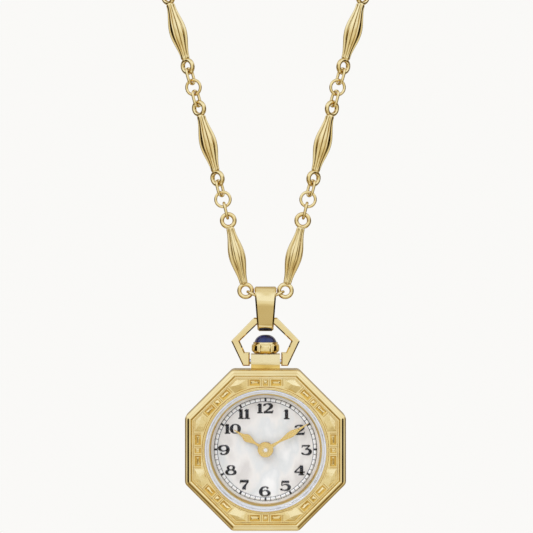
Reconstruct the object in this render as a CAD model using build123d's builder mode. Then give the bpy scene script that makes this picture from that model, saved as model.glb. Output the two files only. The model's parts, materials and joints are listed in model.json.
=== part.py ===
from build123d import *
import os
from math import asin, atan2, cos, degrees, hypot, pi, radians, sin, sqrt, tan

# A pendant watch hanging from its chain, in millimetres.
# The origin is the inside top of the chain loop, where a neck or a hook holds it.
# +Z is up, the dial faces -Y, and +X is to the right as the dial is read.

# Octagonal case, measured across its flats, with depths forward of the stem's centre
case_width = 25.5
corner_round = 1.0
case_front = 1.6
case_rear = -1.9
case_wall = 2.35
bevel = 0.35

# Bezel: bands that step inward over its face, and the ornament channel
rim_width = 0.55
rim_front = 3.55
rim_round = 0.35
valley_depth = 0.1
ridge_width = 0.62
ridge_front = 3.9
ridge_inset = 0.09
ridge_slope = 25
ridge_round = 0.12
frame_width = 0.25
frame_front = 3.5
channel_width = 1.23
channel_floor = 3.2
bezel_ring_wall = 0.5
bezel_ring_front = 3.8
bezel_ring_step = 0.12
bezel_ring_ledge = 0.22
spigot_length = 0.5
stud_height = 0.3
stud_margin = 0.06
stud_end_slope = 0.28
stud_ridge = 0.05
side_count = 8
divider_width = 0.24
divider_inner_share = 0.15
divider_outer_share = 0.6

# Crystal, its gasket, the leaning ring under it, and the dial
crystal_gasket_width = 0.25
crystal_thickness = 1.0
crystal_dome = 0.2
flange_front = 3.1
flange_ledge_front = 2.75
flange_rim = 0.35
flange_width = 0.96
flange_lean = 0.18
dial_front = 1.65
dial_thickness = 0.4
dial_edge = 0.15
dial_foot_radius = 0.35
dial_foot_length = 0.5
dial_foot_shares = (0.844, -0.4)

# Case back
back_margin = 1.45
back_rear = -3.25
back_inner = -1.75
back_lip_length = 0.5
back_lip_wall = 1.1
back_bevel = 0.5
back_notch_radius = 1.2
gasket_width = 0.5
gasket_height = 0.25

# Movement: plate, bridge, holder and the wheels between them
holder_wall = 1.4
plate_rear = 0.55
pocket_floor = 0.85
bridge_front = -1.45
bridge_thickness = 0.22
pillar_radius = 0.5
pillar_edge = 0.8
pillar_angles = (72, 160, 268, 340)
arbor_radius = 0.12
pocket_gap = 0.12
wheel_thickness = 0.16

# Dial-side motion work: one turn of the hour wheel to twelve of the cannon pinion
motion_module = 0.1042
cannon_teeth = 12
minute_wheel_teeth = 36
minute_pinion_teeth = 10
hour_wheel_teeth = 40
setting_wheel_teeth = 20
minute_wheel_angle = 60
minute_wheel_level = 0.88
hour_wheel_level = 1.06
setting_wheel_place = (0.6, 5.01)
cannon_pipe_radius = 0.5
hour_pipe_wall = 0.25

# Rear train: ninety turns of the rotor to one of the minute hand
train_module = 0.07
rotor_pinion_teeth = 6
reduction_wheel_teeth = 54
reduction_pinion_teeth = 6
centre_wheel_teeth = 60
reduction_angle = -20
rotor_angle = 10
centre_wheel_level = 0.25
reduction_wheel_level = -0.3
rotor_magnet_radius = 0.55
rotor_magnet_front = -0.5
rotor_magnet_length = 0.55
tooth_addendum_share = 1.0
tooth_dedendum_share = 1.2

# Electric parts of the movement, whose places and widths are shares of its radius
battery_share = 0.366
battery_thickness = 1.6
battery_front = 0.2
battery_place_shares = (-0.444, -0.439)
coil_radius = 0.62
coil_length_share = 0.69
coil_core_radius = 0.3
coil_place_shares = (0.567, 0.344)
coil_tilt = -52
stator_thickness = 0.4
stator_arm_width = 1.0
stator_elbow = 1.6
stator_air_gap = 0.15
stator_ring_width = 0.55
board_thickness = 0.15
board_front = -0.85
board_edge = 0.45
board_place_shares = (-0.544, 0.344)
board_size_shares = (0.8, 0.822)
quartz_radius = 0.65
quartz_length_share = 0.467
quartz_place_shares = (-0.511, 0.356)
quartz_tilt = 38

# Hands, shown at about ten past ten, with outlines given as shares of their lengths
hour_hand_level = 2.0
minute_hand_level = 2.45
hand_thickness = 0.15
hand_pin_radius = 0.28
hand_tip_gap = 0.59
hour_hand_share = 0.745
hour_hand_angle = 147.8
minute_hand_angle = 31.7
hour_hub_radius = 1.25
minute_hub_radius = 1.2
hour_leaf_shares = ((0.1, 0.05), (0.34, 0.034), (0.58, 0.105), (0.78, 0.034))
minute_leaf_shares = ((0.08, 0.04), (0.34, 0.024), (0.62, 0.064), (0.82, 0.022))
hand_tip_share = 0.004

# Crown, its seal, stem and setting parts
collar_radius = 2.22
collar_gap = 0.1
collar_height = 1.8
collar_taper = 0.45
lobe_count = 7
lobe_notch_radius = 0.2
cup_radius = 1.95
cup_height = 0.25
cabochon_radius = 1.8
cabochon_height = 1.15
crown_bore_radius = 1.1
crown_bore_depth = 1.3
seal_radius = 1.06
seal_wire = 0.3
crown_travel = 0.6
stem_radius = 0.4
stem_bottom = 3.1
stem_groove_radius = 0.22
stem_groove_height = 6.6
stem_groove_length = 0.5
clutch_radius = 0.6
clutch_bottom = 4.3
clutch_length = 1.1
lever_thickness = 0.2
lever_size = (3.4, 1.1)

# Neck that joins the case to the bow, with the rise of the bow's pivot over the case
pivot_rise = 1.15
neck_width = 4.6
neck_rise = 1.2
neck_radius = 1.9
neck_bore_radius = 0.75
tube_radius = 0.72
tube_rise = 1.2
pin_radius = 0.4
pin_in_neck = 1.1
pin_in_bow = 0.8

# Bow: a six-sided frame whose feet straddle the neck, with each height over the one below it
bow_thickness = 1.4
bow_foot_rise = 1.46
bow_shoulder_rise = 1.81
bow_top_rise = 3.73
bow_top_half = 1.86
bow_shoulder_half = 5.48
bow_bar = 1.1
bow_side = 1.36
bow_bevel = 0.2
bow_foot_half = 3.6
bow_window_foot_half = 3.3
foot_gap = 0.22
foot_round = 0.66

# Bail: a tapered strip folded round the bow's bar and the middle ring
bail_wall = 0.68
bail_top_width = 3.6
bail_bottom_width = 2.5
bail_head_radius = 1.75
bail_roof_half = 0.9
bail_roof_round = 0.7
bail_relief_inset = 0.6
bail_relief_rise = 0.22
bail_bevel = 0.25

# Chain: fluted bars joined by small oval rings and round rings
bar_pitch = 11.57
bar_waist_radius = 1.4
bar_neck_radius = 0.72
bar_neck_share = 0.81
bar_swell_share = 0.6
flute_count = 6
flute_radius = 0.6
flute_depth = 0.28
flute_end_depth = 0.12
eye_hole_radius = 0.675
eye_rim = 0.675
eye_thickness = 0.85
eye_edge = 0.27
ring_wire = 0.5
ring_edge = 0.125
ring_sides = 12
round_ring_inner = 0.89
small_ring_half_length = 1.0
small_ring_half_width = 0.58
end_ring_inner = 1.3
first_eye_half = 3.18
first_eye_rise = 4.32
first_lean = 13.9
lean_step = 0.2125
bars_per_strand = 3

# Turn of each link about the strand, from facing forward
bar_twists = (0, 38, 40, 0)
ring_twists = ((90, 5, 118), (121, 20, 121), (118, 10, 90))

# Lobster clasp at the top of the loop
clasp_length = 11.0
clasp_thickness = 1.6
clasp_loop_radius = 3.3
clasp_loop_depth = 2.35
clasp_rim = 1.05
clasp_bevel = 0.4
clasp_neck_half = 0.65
clasp_shoulder_half = 1.3
gate_start_share = 0.35
gate_end_share = 0.45
gate_thickness = 0.7
gate_lug_radius = 0.85
gate_pin_radius = 0.28
gate_spring_wall = 0.14
gate_spring_length = 0.15

# Clearances
running_gap = 0.03
seat_gap = 0.02
link_gap = 0.04
arch_gap = 0.16
gasket_gap = 0.02
overrun = 1.0

# Worked-out sizes
crystal_front = flange_front + crystal_thickness
dial_rear = dial_front - dial_thickness
flat_half = case_width / 2
channel_half = flat_half - rim_width - ridge_width - frame_width
bezel_ring_radius = channel_half - channel_width
crystal_seat_radius = bezel_ring_radius - bezel_ring_wall
crystal_radius = crystal_seat_radius - crystal_gasket_width
flange_inner_radius = crystal_seat_radius - flange_width
dial_radius = crystal_seat_radius - dial_edge
case_bore_radius = flat_half - case_wall
movement_radius = case_bore_radius - holder_wall
minute_hand_length = flange_inner_radius - hand_tip_gap
hour_hand_length = minute_hand_length * hour_hand_share
pivot_height = flat_half + pivot_rise
neck_top = pivot_height + neck_rise
collar_bottom = neck_top + collar_gap
bow_foot_top = pivot_height + bow_foot_rise
bow_shoulder_height = bow_foot_top + bow_shoulder_rise
bow_top = bow_shoulder_height + bow_top_rise
first_eye_height = bow_top + first_eye_rise
hour_module = (
    motion_module * (cannon_teeth + minute_wheel_teeth)
    / (minute_pinion_teeth + hour_wheel_teeth)
)
facet_reach = 1 / cos(pi / ring_sides)


def beyond(place, direction, distance):
    """The point that far from place, in the plane of the chain."""
    return (place[0] + direction[0] * distance, place[1] + direction[1] * distance)


def leaning(lean):
    """Unit direction up the left strand, leaning outward by an angle."""
    return (-sin(radians(lean)), cos(radians(lean)))


# Left strand, walked upward from the eye beside the bail: each link spans its two bearing points
ring_inner_lengths = (2 * small_ring_half_length, 2 * round_ring_inner, 2 * small_ring_half_length)
bar_inner_length = bar_pitch + 2 * eye_hole_radius
strand = []
bearing = beyond(
    (-first_eye_half, first_eye_height), leaning(first_lean), -eye_hole_radius
)
step = 0
for level in range(bars_per_strand):
    lengths = [bar_inner_length]
    twists = [bar_twists[level]]
    if level < bars_per_strand - 1:
        lengths += ring_inner_lengths
        twists += ring_twists[level]
    for length, twist in zip(lengths, twists):
        along = leaning(first_lean + step * lean_step)
        end = beyond(bearing, along, length)
        strand.append((bearing, end, twist))
        bearing = beyond(end, along, -link_gap)
        step += 1

# Arch: chords of one circle through the ends of both strands, level across the clasp at its top
arch_start = bearing
arch_lengths = [*ring_inner_lengths, bar_inner_length, 2 * small_ring_half_length]
arch_twists = [*ring_twists[2], bar_twists[3], 90]
top_lengths = (clasp_length, 2 * end_ring_inner, 2 * small_ring_half_length)
top_span = sum(top_lengths) - len(top_lengths) * arch_gap


def arch_excess(radius):
    """How far the chords of one side reach past the top of a circle, as an angle."""
    reach = asin(top_span / 2 / radius)
    reach += sum(2 * asin((length - arch_gap) / 2 / radius) for length in arch_lengths)
    return reach - (pi - asin(-arch_start[0] / radius))


low_radius = -arch_start[0]
high_radius = 2 * low_radius
for halving in range(50):
    arch_radius = (low_radius + high_radius) / 2
    if arch_excess(arch_radius) > 0:
        low_radius = arch_radius
    else:
        high_radius = arch_radius
arch_centre_height = arch_start[1] + sqrt(arch_radius**2 - arch_start[0] ** 2)
turned = pi - asin(-arch_start[0] / arch_radius)
arch = []
for length, twist in zip(arch_lengths, arch_twists):
    half_turn = asin((length - arch_gap) / 2 / arch_radius)
    near = (-arch_radius * sin(turned), arch_centre_height + arch_radius * cos(turned))
    turned -= 2 * half_turn
    far = (-arch_radius * sin(turned), arch_centre_height + arch_radius * cos(turned))
    along = ((far[0] - near[0]) / (length - arch_gap), (far[1] - near[1]) / (length - arch_gap))
    arch.append((beyond(near, along, -arch_gap / 2), beyond(far, along, arch_gap / 2), twist))
links = [*strand, *arch]
links_per_level = 1 + len(ring_inner_lengths)
clasp_height = arch_centre_height + arch_radius * cos(turned)
clasp_left = -top_span / 2 - arch_gap / 2
end_ring_left = clasp_left + clasp_length - arch_gap
end_ring_right = end_ring_left + 2 * end_ring_inner
joining_link = (
    (end_ring_right - arch_gap, clasp_height),
    (end_ring_right - arch_gap + 2 * small_ring_half_length, clasp_height),
    0,
)

# The loop hangs from the underside of the clasp, so the case's centre lies this far below it
case_z = -(clasp_height - clasp_loop_depth)


def dial_plane(depth):
    """Plane parallel to the dial, with +Z up in it, that far forward of the stem's centre."""
    return Plane(origin=(0, -depth, case_z), x_dir=(1, 0, 0), z_dir=(0, -1, 0))


def side_plane(offset):
    """Plane seen from the right, with local x backward and local y up from the case's centre."""
    return Plane(origin=(offset, 0, case_z), x_dir=(0, 1, 0), z_dir=(1, 0, 0))


def level_plane(height):
    """Level plane that far above the case's centre."""
    return Plane(origin=(0, 0, case_z + height), x_dir=(1, 0, 0), z_dir=(0, 0, 1))


upright = Axis((0, 0, case_z), (0, 0, 1))
watch_axis = Axis((0, 0, case_z), (0, -1, 0))


def save(piece, name):
    """Label a finished piece and write it."""
    piece.part.label = name
    export_step(piece.part, f"parts/{name}.step")


os.makedirs("parts", exist_ok=True)


# Chain links, each made at the origin with x along the strand and its holes facing z


def loop_outline(half_length, half_width):
    """Faceted oval that touches its true outline at the middle of each facet."""
    points = []
    for corner in range(ring_sides):
        angle = (corner + 1 / 2) * 2 * pi / ring_sides
        straight = half_length - half_width if cos(angle) > 0 else half_width - half_length
        across = half_width * facet_reach
        points.append((straight + across * cos(angle), across * sin(angle)))
    return points


def faceted_ring(half_length, half_width, rim, thickness, edge):
    """Closed ring of six-sided bar, given by its inner half sizes."""
    levels = ((-thickness / 2, edge), (0, 0), (thickness / 2, edge))
    with BuildPart() as ring:
        for level, inset in levels:
            with BuildSketch(Plane.XY.offset(level)):
                outer = rim - inset
                Polygon(*loop_outline(half_length + outer, half_width + outer), align=None)
        loft(ruled=True)
        for level, inset in levels:
            with BuildSketch(Plane.XY.offset(level)):
                Polygon(*loop_outline(half_length + inset, half_width + inset), align=None)
        loft(ruled=True, mode=Mode.SUBTRACT)
    return ring


small_ring = faceted_ring(
    small_ring_half_length, small_ring_half_width, ring_wire, ring_wire, ring_edge
)
round_ring = faceted_ring(round_ring_inner, round_ring_inner, ring_wire, ring_wire, ring_edge)
end_ring = faceted_ring(end_ring_inner, end_ring_inner, ring_wire, ring_wire, ring_edge)
eye = faceted_ring(eye_hole_radius, eye_hole_radius, eye_rim, eye_thickness, eye_edge)

# Bar: a spindle that swells from two slim necks, fluted along its length, with an eye at each end
neck_place = bar_pitch / 2 * bar_neck_share
swell_place = neck_place * bar_swell_share


def swelling(neck, waist):
    """Three tangent arcs from neck to neck: hollow, full round the waist, and hollow again."""
    turn = waist - (waist - neck) * bar_swell_share
    hollow = TangentArc((-neck_place, neck), (-swell_place, turn), tangent=(1, 0))
    full = ThreePointArc((-swell_place, turn), (0, waist), (swell_place, turn))
    return [hollow, full, hollow.mirror(Plane.YZ)]


flute_line = bar_neck_radius + flute_radius - flute_end_depth
with BuildPart() as flute:
    with BuildLine() as path:
        add(swelling(flute_line, bar_waist_radius + flute_radius - flute_depth))
        Line((-bar_pitch / 2, flute_line), (-neck_place, flute_line))
        Line((neck_place, flute_line), (bar_pitch / 2, flute_line))
    with BuildSketch(Plane(origin=(-bar_pitch / 2, flute_line), z_dir=(1, 0, 0))):
        Circle(flute_radius)
    sweep(path=path.wire())

with BuildPart() as fluted_bar:
    with BuildSketch():
        with BuildLine():
            add(swelling(bar_neck_radius, bar_waist_radius))
            Polyline(
                (neck_place, bar_neck_radius),
                (neck_place, 0),
                (-neck_place, 0),
                (-neck_place, bar_neck_radius),
            )
        make_face()
    revolve(axis=Axis.X)
    for turn in range(flute_count):
        add(flute.part.rotate(Axis.X, (turn + 1 / 2) * 360 / flute_count), mode=Mode.SUBTRACT)
    with Locations((-bar_pitch / 2, 0), (bar_pitch / 2, 0)):
        add(eye.part)


def link_plane(start, end, twist):
    """Plane at a link's middle: x up the link and z along the axis that its holes face."""
    middle = Vector((start[0] + end[0]) / 2, 0, case_z + (start[1] + end[1]) / 2)
    along = Vector(end[0] - start[0], 0, end[1] - start[1]).normalized()
    forward = Vector(0, -1, 0)
    facing = forward * cos(radians(twist)) + forward.cross(along) * sin(radians(twist))
    return Plane(origin=middle, x_dir=along, z_dir=facing)


def laid(link, plane):
    """A link placed in the chain."""
    with BuildPart() as piece:
        with Locations(plane.location):
            add(link.part)
    return piece


def mirrored(left):
    """Mirror image of a piece on the left strand."""
    with BuildPart() as right:
        mirror(left.part, about=Plane.YZ)
    return right


def pair(left):
    """A piece on the left strand with its mirror image, as two separate solids."""
    with BuildPart() as both:
        add(left.part)
        mirror(left.part, about=Plane.YZ)
    return both


# Links of both strands and of the arch, from the bail up
for level in range(bars_per_strand + 1):
    first = level * links_per_level
    bar = laid(fluted_bar, link_plane(*links[first]))
    save(bar, f"chain_bar_{level + 1}_left")
    save(mirrored(bar), f"chain_bar_{level + 1}_right")
    if level < bars_per_strand:
        lower, middle, upper = (
            link_plane(*link) for link in links[first + 1 : first + links_per_level]
        )
        save(pair(laid(round_ring, middle)), f"round_rings_{level + 1}")
        if level < bars_per_strand - 1:
            save(pair(laid(small_ring, lower)), f"lower_small_rings_{level + 1}")
            save(pair(laid(small_ring, upper)), f"upper_small_rings_{level + 1}")
        else:
            with BuildPart() as arch_small_rings:
                for plane in (lower, upper, link_plane(*links[-1])):
                    add(pair(laid(small_ring, plane)).part)
                add(laid(small_ring, link_plane(*joining_link)).part)
            save(arch_small_rings, "arch_small_rings")

# Middle group: a small ring from each lowest eye to one round ring inside the bail
middle_reach = (
    eye_hole_radius + 2 * small_ring_half_length + round_ring_inner - 2 * link_gap
)
middle_height = first_eye_height - sqrt(middle_reach**2 - first_eye_half**2)
towards = (first_eye_half / middle_reach, (middle_height - first_eye_height) / middle_reach)
middle_near = beyond((-first_eye_half, first_eye_height), towards, eye_hole_radius - link_gap)
middle_far = beyond(middle_near, towards, 2 * small_ring_half_length)
middle_small_rings = pair(laid(small_ring, link_plane(middle_near, middle_far, 90)))
save(middle_small_rings, "middle_small_rings")
middle_ring_plane = link_plane(
    (-round_ring_inner, middle_height), (round_ring_inner, middle_height), 0
)
save(laid(round_ring, middle_ring_plane), "middle_round_ring")

# Lobster clasp: eye, neck and hook in one body, closed by a gate on a pin
clasp_eye_x = clasp_left + eye_hole_radius
hook_x = clasp_left + clasp_length - clasp_loop_radius + clasp_rim
clasp_plane = Plane(
    origin=(hook_x, 0, case_z + clasp_height), x_dir=(1, 0, 0), z_dir=(0, -1, 0)
)
gate_start = -clasp_loop_radius * gate_start_share
gate_end = clasp_loop_radius * gate_end_share
gate_middle = ((gate_start + gate_end) / 2, -clasp_loop_depth)
gate_pivot = (gate_start, -clasp_loop_depth + clasp_rim)
eye_from_hook = clasp_eye_x - hook_x
neck_end = eye_from_hook + eye_hole_radius + eye_rim / 2
slot_half = gate_thickness / 2 + gate_spring_length + running_gap
with BuildPart() as clasp_body:
    with BuildSketch(clasp_plane):
        Ellipse(clasp_loop_radius, clasp_loop_depth)
        Polygon(
            (neck_end, -clasp_neck_half),
            (-clasp_loop_radius / 2, -clasp_shoulder_half),
            (-clasp_loop_radius / 2, clasp_shoulder_half),
            (neck_end, clasp_neck_half),
            align=None,
        )
        with Locations(gate_pivot):
            Circle(gate_lug_radius)
        Ellipse(
            clasp_loop_radius - clasp_rim, clasp_loop_depth - clasp_rim, mode=Mode.SUBTRACT
        )
    extrude(amount=clasp_thickness / 2, both=True)
    faces = clasp_body.faces().sort_by(Axis.Y)
    chamfer(faces[0].edges() + faces[-1].edges(), clasp_bevel)
    with BuildSketch(clasp_plane):
        with Locations(gate_middle):
            Rectangle(gate_end - gate_start, 2 * clasp_loop_depth)
        with Locations(gate_pivot):
            Circle(gate_lug_radius, mode=Mode.SUBTRACT)
    extrude(amount=clasp_thickness, both=True, mode=Mode.SUBTRACT)
    with BuildSketch(clasp_plane):
        with Locations(gate_pivot):
            Circle(gate_lug_radius + running_gap)
        with Locations((gate_start, gate_pivot[1] - gate_lug_radius)):
            Rectangle(gate_lug_radius, gate_lug_radius)
    extrude(amount=slot_half, both=True, mode=Mode.SUBTRACT)
    with BuildSketch(clasp_plane):
        with Locations(gate_pivot):
            Circle(gate_pin_radius)
    extrude(amount=clasp_thickness, both=True, mode=Mode.SUBTRACT)
    with Locations(Plane(origin=(clasp_eye_x, 0, case_z + clasp_height), z_dir=(0, -1, 0))):
        add(eye.part)
save(clasp_body, "clasp_body")

with BuildPart() as clasp_gate:
    with BuildSketch(clasp_plane):
        Ellipse(clasp_loop_radius, clasp_loop_depth)
        Ellipse(
            clasp_loop_radius - clasp_rim * 2 / 3,
            clasp_loop_depth - clasp_rim * 2 / 3,
            mode=Mode.SUBTRACT,
        )
        with Locations(gate_middle):
            Rectangle(
                gate_end - gate_start - 2 * running_gap, 2 * clasp_loop_depth, mode=Mode.INTERSECT
            )
        with Locations(gate_pivot):
            Circle(gate_end - gate_start - 2 * running_gap, mode=Mode.INTERSECT)
        with Locations(gate_pivot):
            Circle(gate_lug_radius - running_gap)
        with Locations((gate_start + gate_lug_radius, -clasp_loop_depth)):
            Circle(gate_lug_radius / 2)
        with Locations(gate_pivot):
            Circle(gate_pin_radius + running_gap, mode=Mode.SUBTRACT)
    extrude(amount=gate_thickness / 2, both=True)
save(clasp_gate, "clasp_gate")

with BuildPart() as clasp_pin:
    with BuildSketch(clasp_plane):
        with Locations(gate_pivot):
            Circle(gate_pin_radius)
    extrude(amount=clasp_thickness / 2, both=True)
save(clasp_pin, "clasp_pin")

with BuildPart() as clasp_spring:
    with BuildSketch(clasp_plane.offset(gate_thickness / 2 + running_gap / 2)):
        with Locations(gate_pivot):
            Circle(gate_pin_radius + running_gap + gate_spring_wall)
            Circle(gate_pin_radius + running_gap, mode=Mode.SUBTRACT)
    extrude(amount=gate_spring_length)
save(clasp_spring, "clasp_spring")

end_ring_plane = link_plane((end_ring_left, clasp_height), (end_ring_right, clasp_height), 90)
save(laid(end_ring, end_ring_plane), "clasp_end_ring")

# Bail: its inside has a flat roof over the middle ring, relieved at both sides for the rings
# beside it, and follows the bow's bar at the bottom
bow_bar_height = bow_top - bow_bar / 2
bail_heel_radius = hypot(bow_thickness / 2, bow_bar / 2) + running_gap
bail_head_height = (
    middle_height + round_ring_inner + ring_wire + link_gap - bail_head_radius
)
bail_roof = bail_head_height + bail_head_radius
bail_bottom = bow_bar_height - bail_heel_radius - bail_wall
bail_top = bail_roof + bail_wall
with BuildPart() as bail:
    with BuildSketch(side_plane(0)):
        with Locations((0, bow_bar_height)):
            Circle(bail_heel_radius + bail_wall)
        with Locations((0, bail_head_height)):
            Circle(bail_head_radius + bail_wall)
        make_hull()
    extrude(amount=bail_top_width, both=True)
    with BuildSketch(dial_plane(0)):
        Polygon(
            (-bail_bottom_width / 2, bail_bottom),
            (bail_bottom_width / 2, bail_bottom),
            (bail_top_width / 2, bail_top),
            (-bail_top_width / 2, bail_top),
            align=None,
        )
    extrude(amount=2 * bail_head_radius, both=True, mode=Mode.INTERSECT)
    sides = bail.faces().sort_by(Axis.X)
    chamfer(sides[0].edges() + sides[-1].edges(), bail_bevel)
    with BuildSketch(side_plane(0)):
        with Locations((0, bow_bar_height)):
            Circle(bail_heel_radius)
        with Locations((0, bail_head_height)):
            Circle(bail_head_radius)
        with Locations(
            (-bail_roof_half, bail_roof - bail_roof_round),
            (bail_roof_half, bail_roof - bail_roof_round),
        ):
            Circle(bail_roof_round)
        make_hull()
    extrude(amount=bail_top_width, both=True, mode=Mode.SUBTRACT)
    with BuildSketch(dial_plane(0)) as relief:
        Polygon(
            (bail_top_width / 2 - bail_relief_inset, bail_roof),
            (bail_top_width / 2, bail_roof),
            (bail_top_width / 2, bail_roof + bail_relief_rise),
            align=None,
        )
        mirror(relief.sketch, about=Plane.YZ)
    extrude(amount=bail_roof_half + bail_roof_round / 2, both=True, mode=Mode.SUBTRACT)
save(bail, "bail")

# Bow
foot_bottom = pivot_height - bow_thickness / 2
foot_inner = neck_width / 2 + foot_gap
shoulder_slope = atan2(bow_top - bow_shoulder_height, bow_shoulder_half - bow_top_half)
window_top_half = bow_top_half - bow_bar * tan(shoulder_slope / 2)
window_shoulder_half = bow_shoulder_half - bow_side
with BuildPart() as bow:
    with BuildSketch(dial_plane(0)):
        Polygon(
            (-bow_top_half, bow_top),
            (-bow_shoulder_half, bow_shoulder_height),
            (-bow_foot_half, foot_bottom),
            (bow_foot_half, foot_bottom),
            (bow_shoulder_half, bow_shoulder_height),
            (bow_top_half, bow_top),
            align=None,
        )
        Polygon(
            (-window_top_half, bow_top - bow_bar),
            (-window_shoulder_half, bow_shoulder_height),
            (-bow_window_foot_half, bow_foot_top),
            (bow_window_foot_half, bow_foot_top),
            (window_shoulder_half, bow_shoulder_height),
            (window_top_half, bow_top - bow_bar),
            align=None,
            mode=Mode.SUBTRACT,
        )
        with Locations((0, (foot_bottom + bow_foot_top) / 2)):
            Rectangle(2 * foot_inner, bow_foot_top - foot_bottom, mode=Mode.SUBTRACT)
    extrude(amount=bow_thickness / 2, both=True)
    faces = bow.faces().sort_by(Axis.Y)
    chamfer(faces[0].outer_wire().edges() + faces[-1].outer_wire().edges(), bow_bevel)
    fillet(bow.edges().filter_by(Axis.X).group_by(Axis.Z)[0], foot_round)
    with BuildSketch(side_plane(-foot_inner - pin_in_bow)):
        with Locations((0, pivot_height)):
            Circle(pin_radius + seat_gap)
    extrude(amount=2 * (foot_inner + pin_in_bow), mode=Mode.SUBTRACT)
save(bow, "bow")

# Neck, with the pins that the bow turns on and the tube that the crown's seal grips
with BuildPart() as neck:
    with BuildSketch(side_plane(0)):
        with Locations((0, pivot_height)):
            Circle(neck_radius)
        with Locations((0, (pivot_height + neck_top) / 2)):
            Rectangle(2 * neck_radius, neck_top - pivot_height)
        with Locations((0, (flat_half + neck_top) / 2)):
            Rectangle(3 * neck_radius, neck_top - flat_half, mode=Mode.INTERSECT)
    extrude(amount=neck_width / 2, both=True)
    with BuildSketch(level_plane(flat_half)):
        Circle(neck_bore_radius)
    extrude(amount=neck_top - flat_half, mode=Mode.SUBTRACT)
    for side in (-1, 1):
        with BuildSketch(side_plane(side * neck_width / 2)):
            with Locations((0, pivot_height)):
                Circle(pin_radius)
        extrude(amount=-side * pin_in_neck, mode=Mode.SUBTRACT)
save(neck, "neck")

with BuildPart() as bow_pins:
    for side in (-1, 1):
        with BuildSketch(side_plane(side * (neck_width / 2 - pin_in_neck))):
            with Locations((0, pivot_height)):
                Circle(pin_radius)
        extrude(amount=side * (pin_in_neck + foot_gap + pin_in_bow - seat_gap))
save(bow_pins, "bow_pins")

tube_bottom = case_bore_radius + seat_gap
with BuildPart() as crown_tube:
    with BuildSketch(level_plane(tube_bottom)):
        Circle(tube_radius)
        Circle(stem_radius + running_gap, mode=Mode.SUBTRACT)
    extrude(amount=neck_top + tube_rise - tube_bottom)
save(crown_tube, "crown_tube")

# Crown, cabochon, seal and stem
collar_top = collar_bottom + collar_height
bore_top = collar_bottom + crown_bore_depth
cup_floor = collar_top - cup_height
with BuildPart() as crown:
    with BuildSketch(dial_plane(0)):
        with BuildLine():
            Polyline(
                (0, bore_top),
                (crown_bore_radius, bore_top),
                (crown_bore_radius, collar_bottom),
                (collar_radius - collar_taper, collar_bottom),
                (collar_radius, collar_bottom + collar_taper),
                (collar_radius, collar_top - 2 * cup_height),
                (cup_radius, collar_top - cup_height),
                (cup_radius, collar_top),
                (cabochon_radius, collar_top),
                (cabochon_radius, cup_floor),
                (0, cup_floor),
                close=True,
            )
        make_face()
    revolve(axis=upright)
    with BuildSketch(level_plane(collar_bottom)):
        with PolarLocations(collar_radius, lobe_count, start_angle=-90 + 180 / lobe_count):
            Circle(lobe_notch_radius)
    extrude(amount=collar_height, mode=Mode.SUBTRACT)
    with BuildSketch(level_plane(bore_top)):
        Circle(stem_radius)
    extrude(amount=(cup_floor - bore_top) / 2, mode=Mode.SUBTRACT)
save(crown, "crown")

with BuildPart() as cabochon:
    with BuildSketch(dial_plane(0)):
        with BuildLine():
            dome = ThreePointArc(
                (0, collar_top + cabochon_height),
                (
                    cabochon_radius * sin(pi / 4),
                    collar_top + cabochon_height * cos(pi / 4),
                ),
                (cabochon_radius - running_gap, collar_top),
            )
            Polyline(
                dome @ 1,
                (cabochon_radius - running_gap, cup_floor),
                (0, cup_floor),
                dome @ 0,
            )
        make_face()
    revolve(axis=upright)
save(cabochon, "cabochon")

with BuildPart() as crown_seal:
    with BuildSketch(level_plane(collar_bottom + seal_wire / 2)):
        Circle(seal_radius)
        Circle(tube_radius + running_gap, mode=Mode.SUBTRACT)
    extrude(amount=seal_wire)
save(crown_seal, "crown_seal")

with BuildPart() as stem:
    with BuildSketch(level_plane(stem_bottom)):
        Circle(stem_radius)
    extrude(amount=bore_top + (cup_floor - bore_top) / 2 - stem_bottom)
    with BuildSketch(level_plane(stem_groove_height)):
        Circle(stem_radius)
        Circle(stem_groove_radius, mode=Mode.SUBTRACT)
    extrude(amount=stem_groove_length, mode=Mode.SUBTRACT)
save(stem, "winding_stem")

with BuildPart() as clutch:
    with BuildSketch(level_plane(clutch_bottom)):
        Circle(clutch_radius)
        with PolarLocations(clutch_radius, flute_count):
            Rectangle(ring_edge, ring_edge * 2, mode=Mode.SUBTRACT)
        Circle(stem_radius, mode=Mode.SUBTRACT)
    extrude(amount=clutch_length)
save(clutch, "sliding_pinion")

lever_length, lever_width = lever_size
lever_middle = stem_groove_height + stem_groove_length / 2
with BuildPart() as setting_lever:
    with BuildSketch(dial_plane(-stem_radius - lever_thickness - running_gap)):
        with Locations(((lever_width - lever_length) / 2, lever_middle)):
            SlotOverall(lever_length, lever_width)
    extrude(amount=lever_thickness)
    with BuildSketch(dial_plane(-stem_radius - running_gap)):
        with Locations((0, lever_middle)):
            Rectangle(stem_groove_radius, stem_groove_length - 2 * running_gap)
    extrude(amount=stem_radius - stem_groove_radius)
save(setting_lever, "setting_lever")


def octagon(half_width):
    """Regular octagon with flat top and sides, by its half width."""
    return RegularPolygon(half_width, side_count, major_radius=False, rotation=180 / side_count)


# Case middle, back and their gasket
with BuildPart() as case_middle:
    with BuildSketch(dial_plane(case_rear)) as outline:
        octagon(flat_half)
        fillet(outline.vertices(), corner_round)
        Circle(case_bore_radius, mode=Mode.SUBTRACT)
    extrude(amount=case_front - case_rear)
    chamfer(case_middle.faces().sort_by(Axis.Y)[-1].outer_wire().edges(), bevel)
    with BuildSketch(level_plane(case_bore_radius - overrun)):
        Circle(neck_bore_radius)
    extrude(amount=flat_half - case_bore_radius + 2 * overrun, mode=Mode.SUBTRACT)
save(case_middle, "case_middle")

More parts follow.
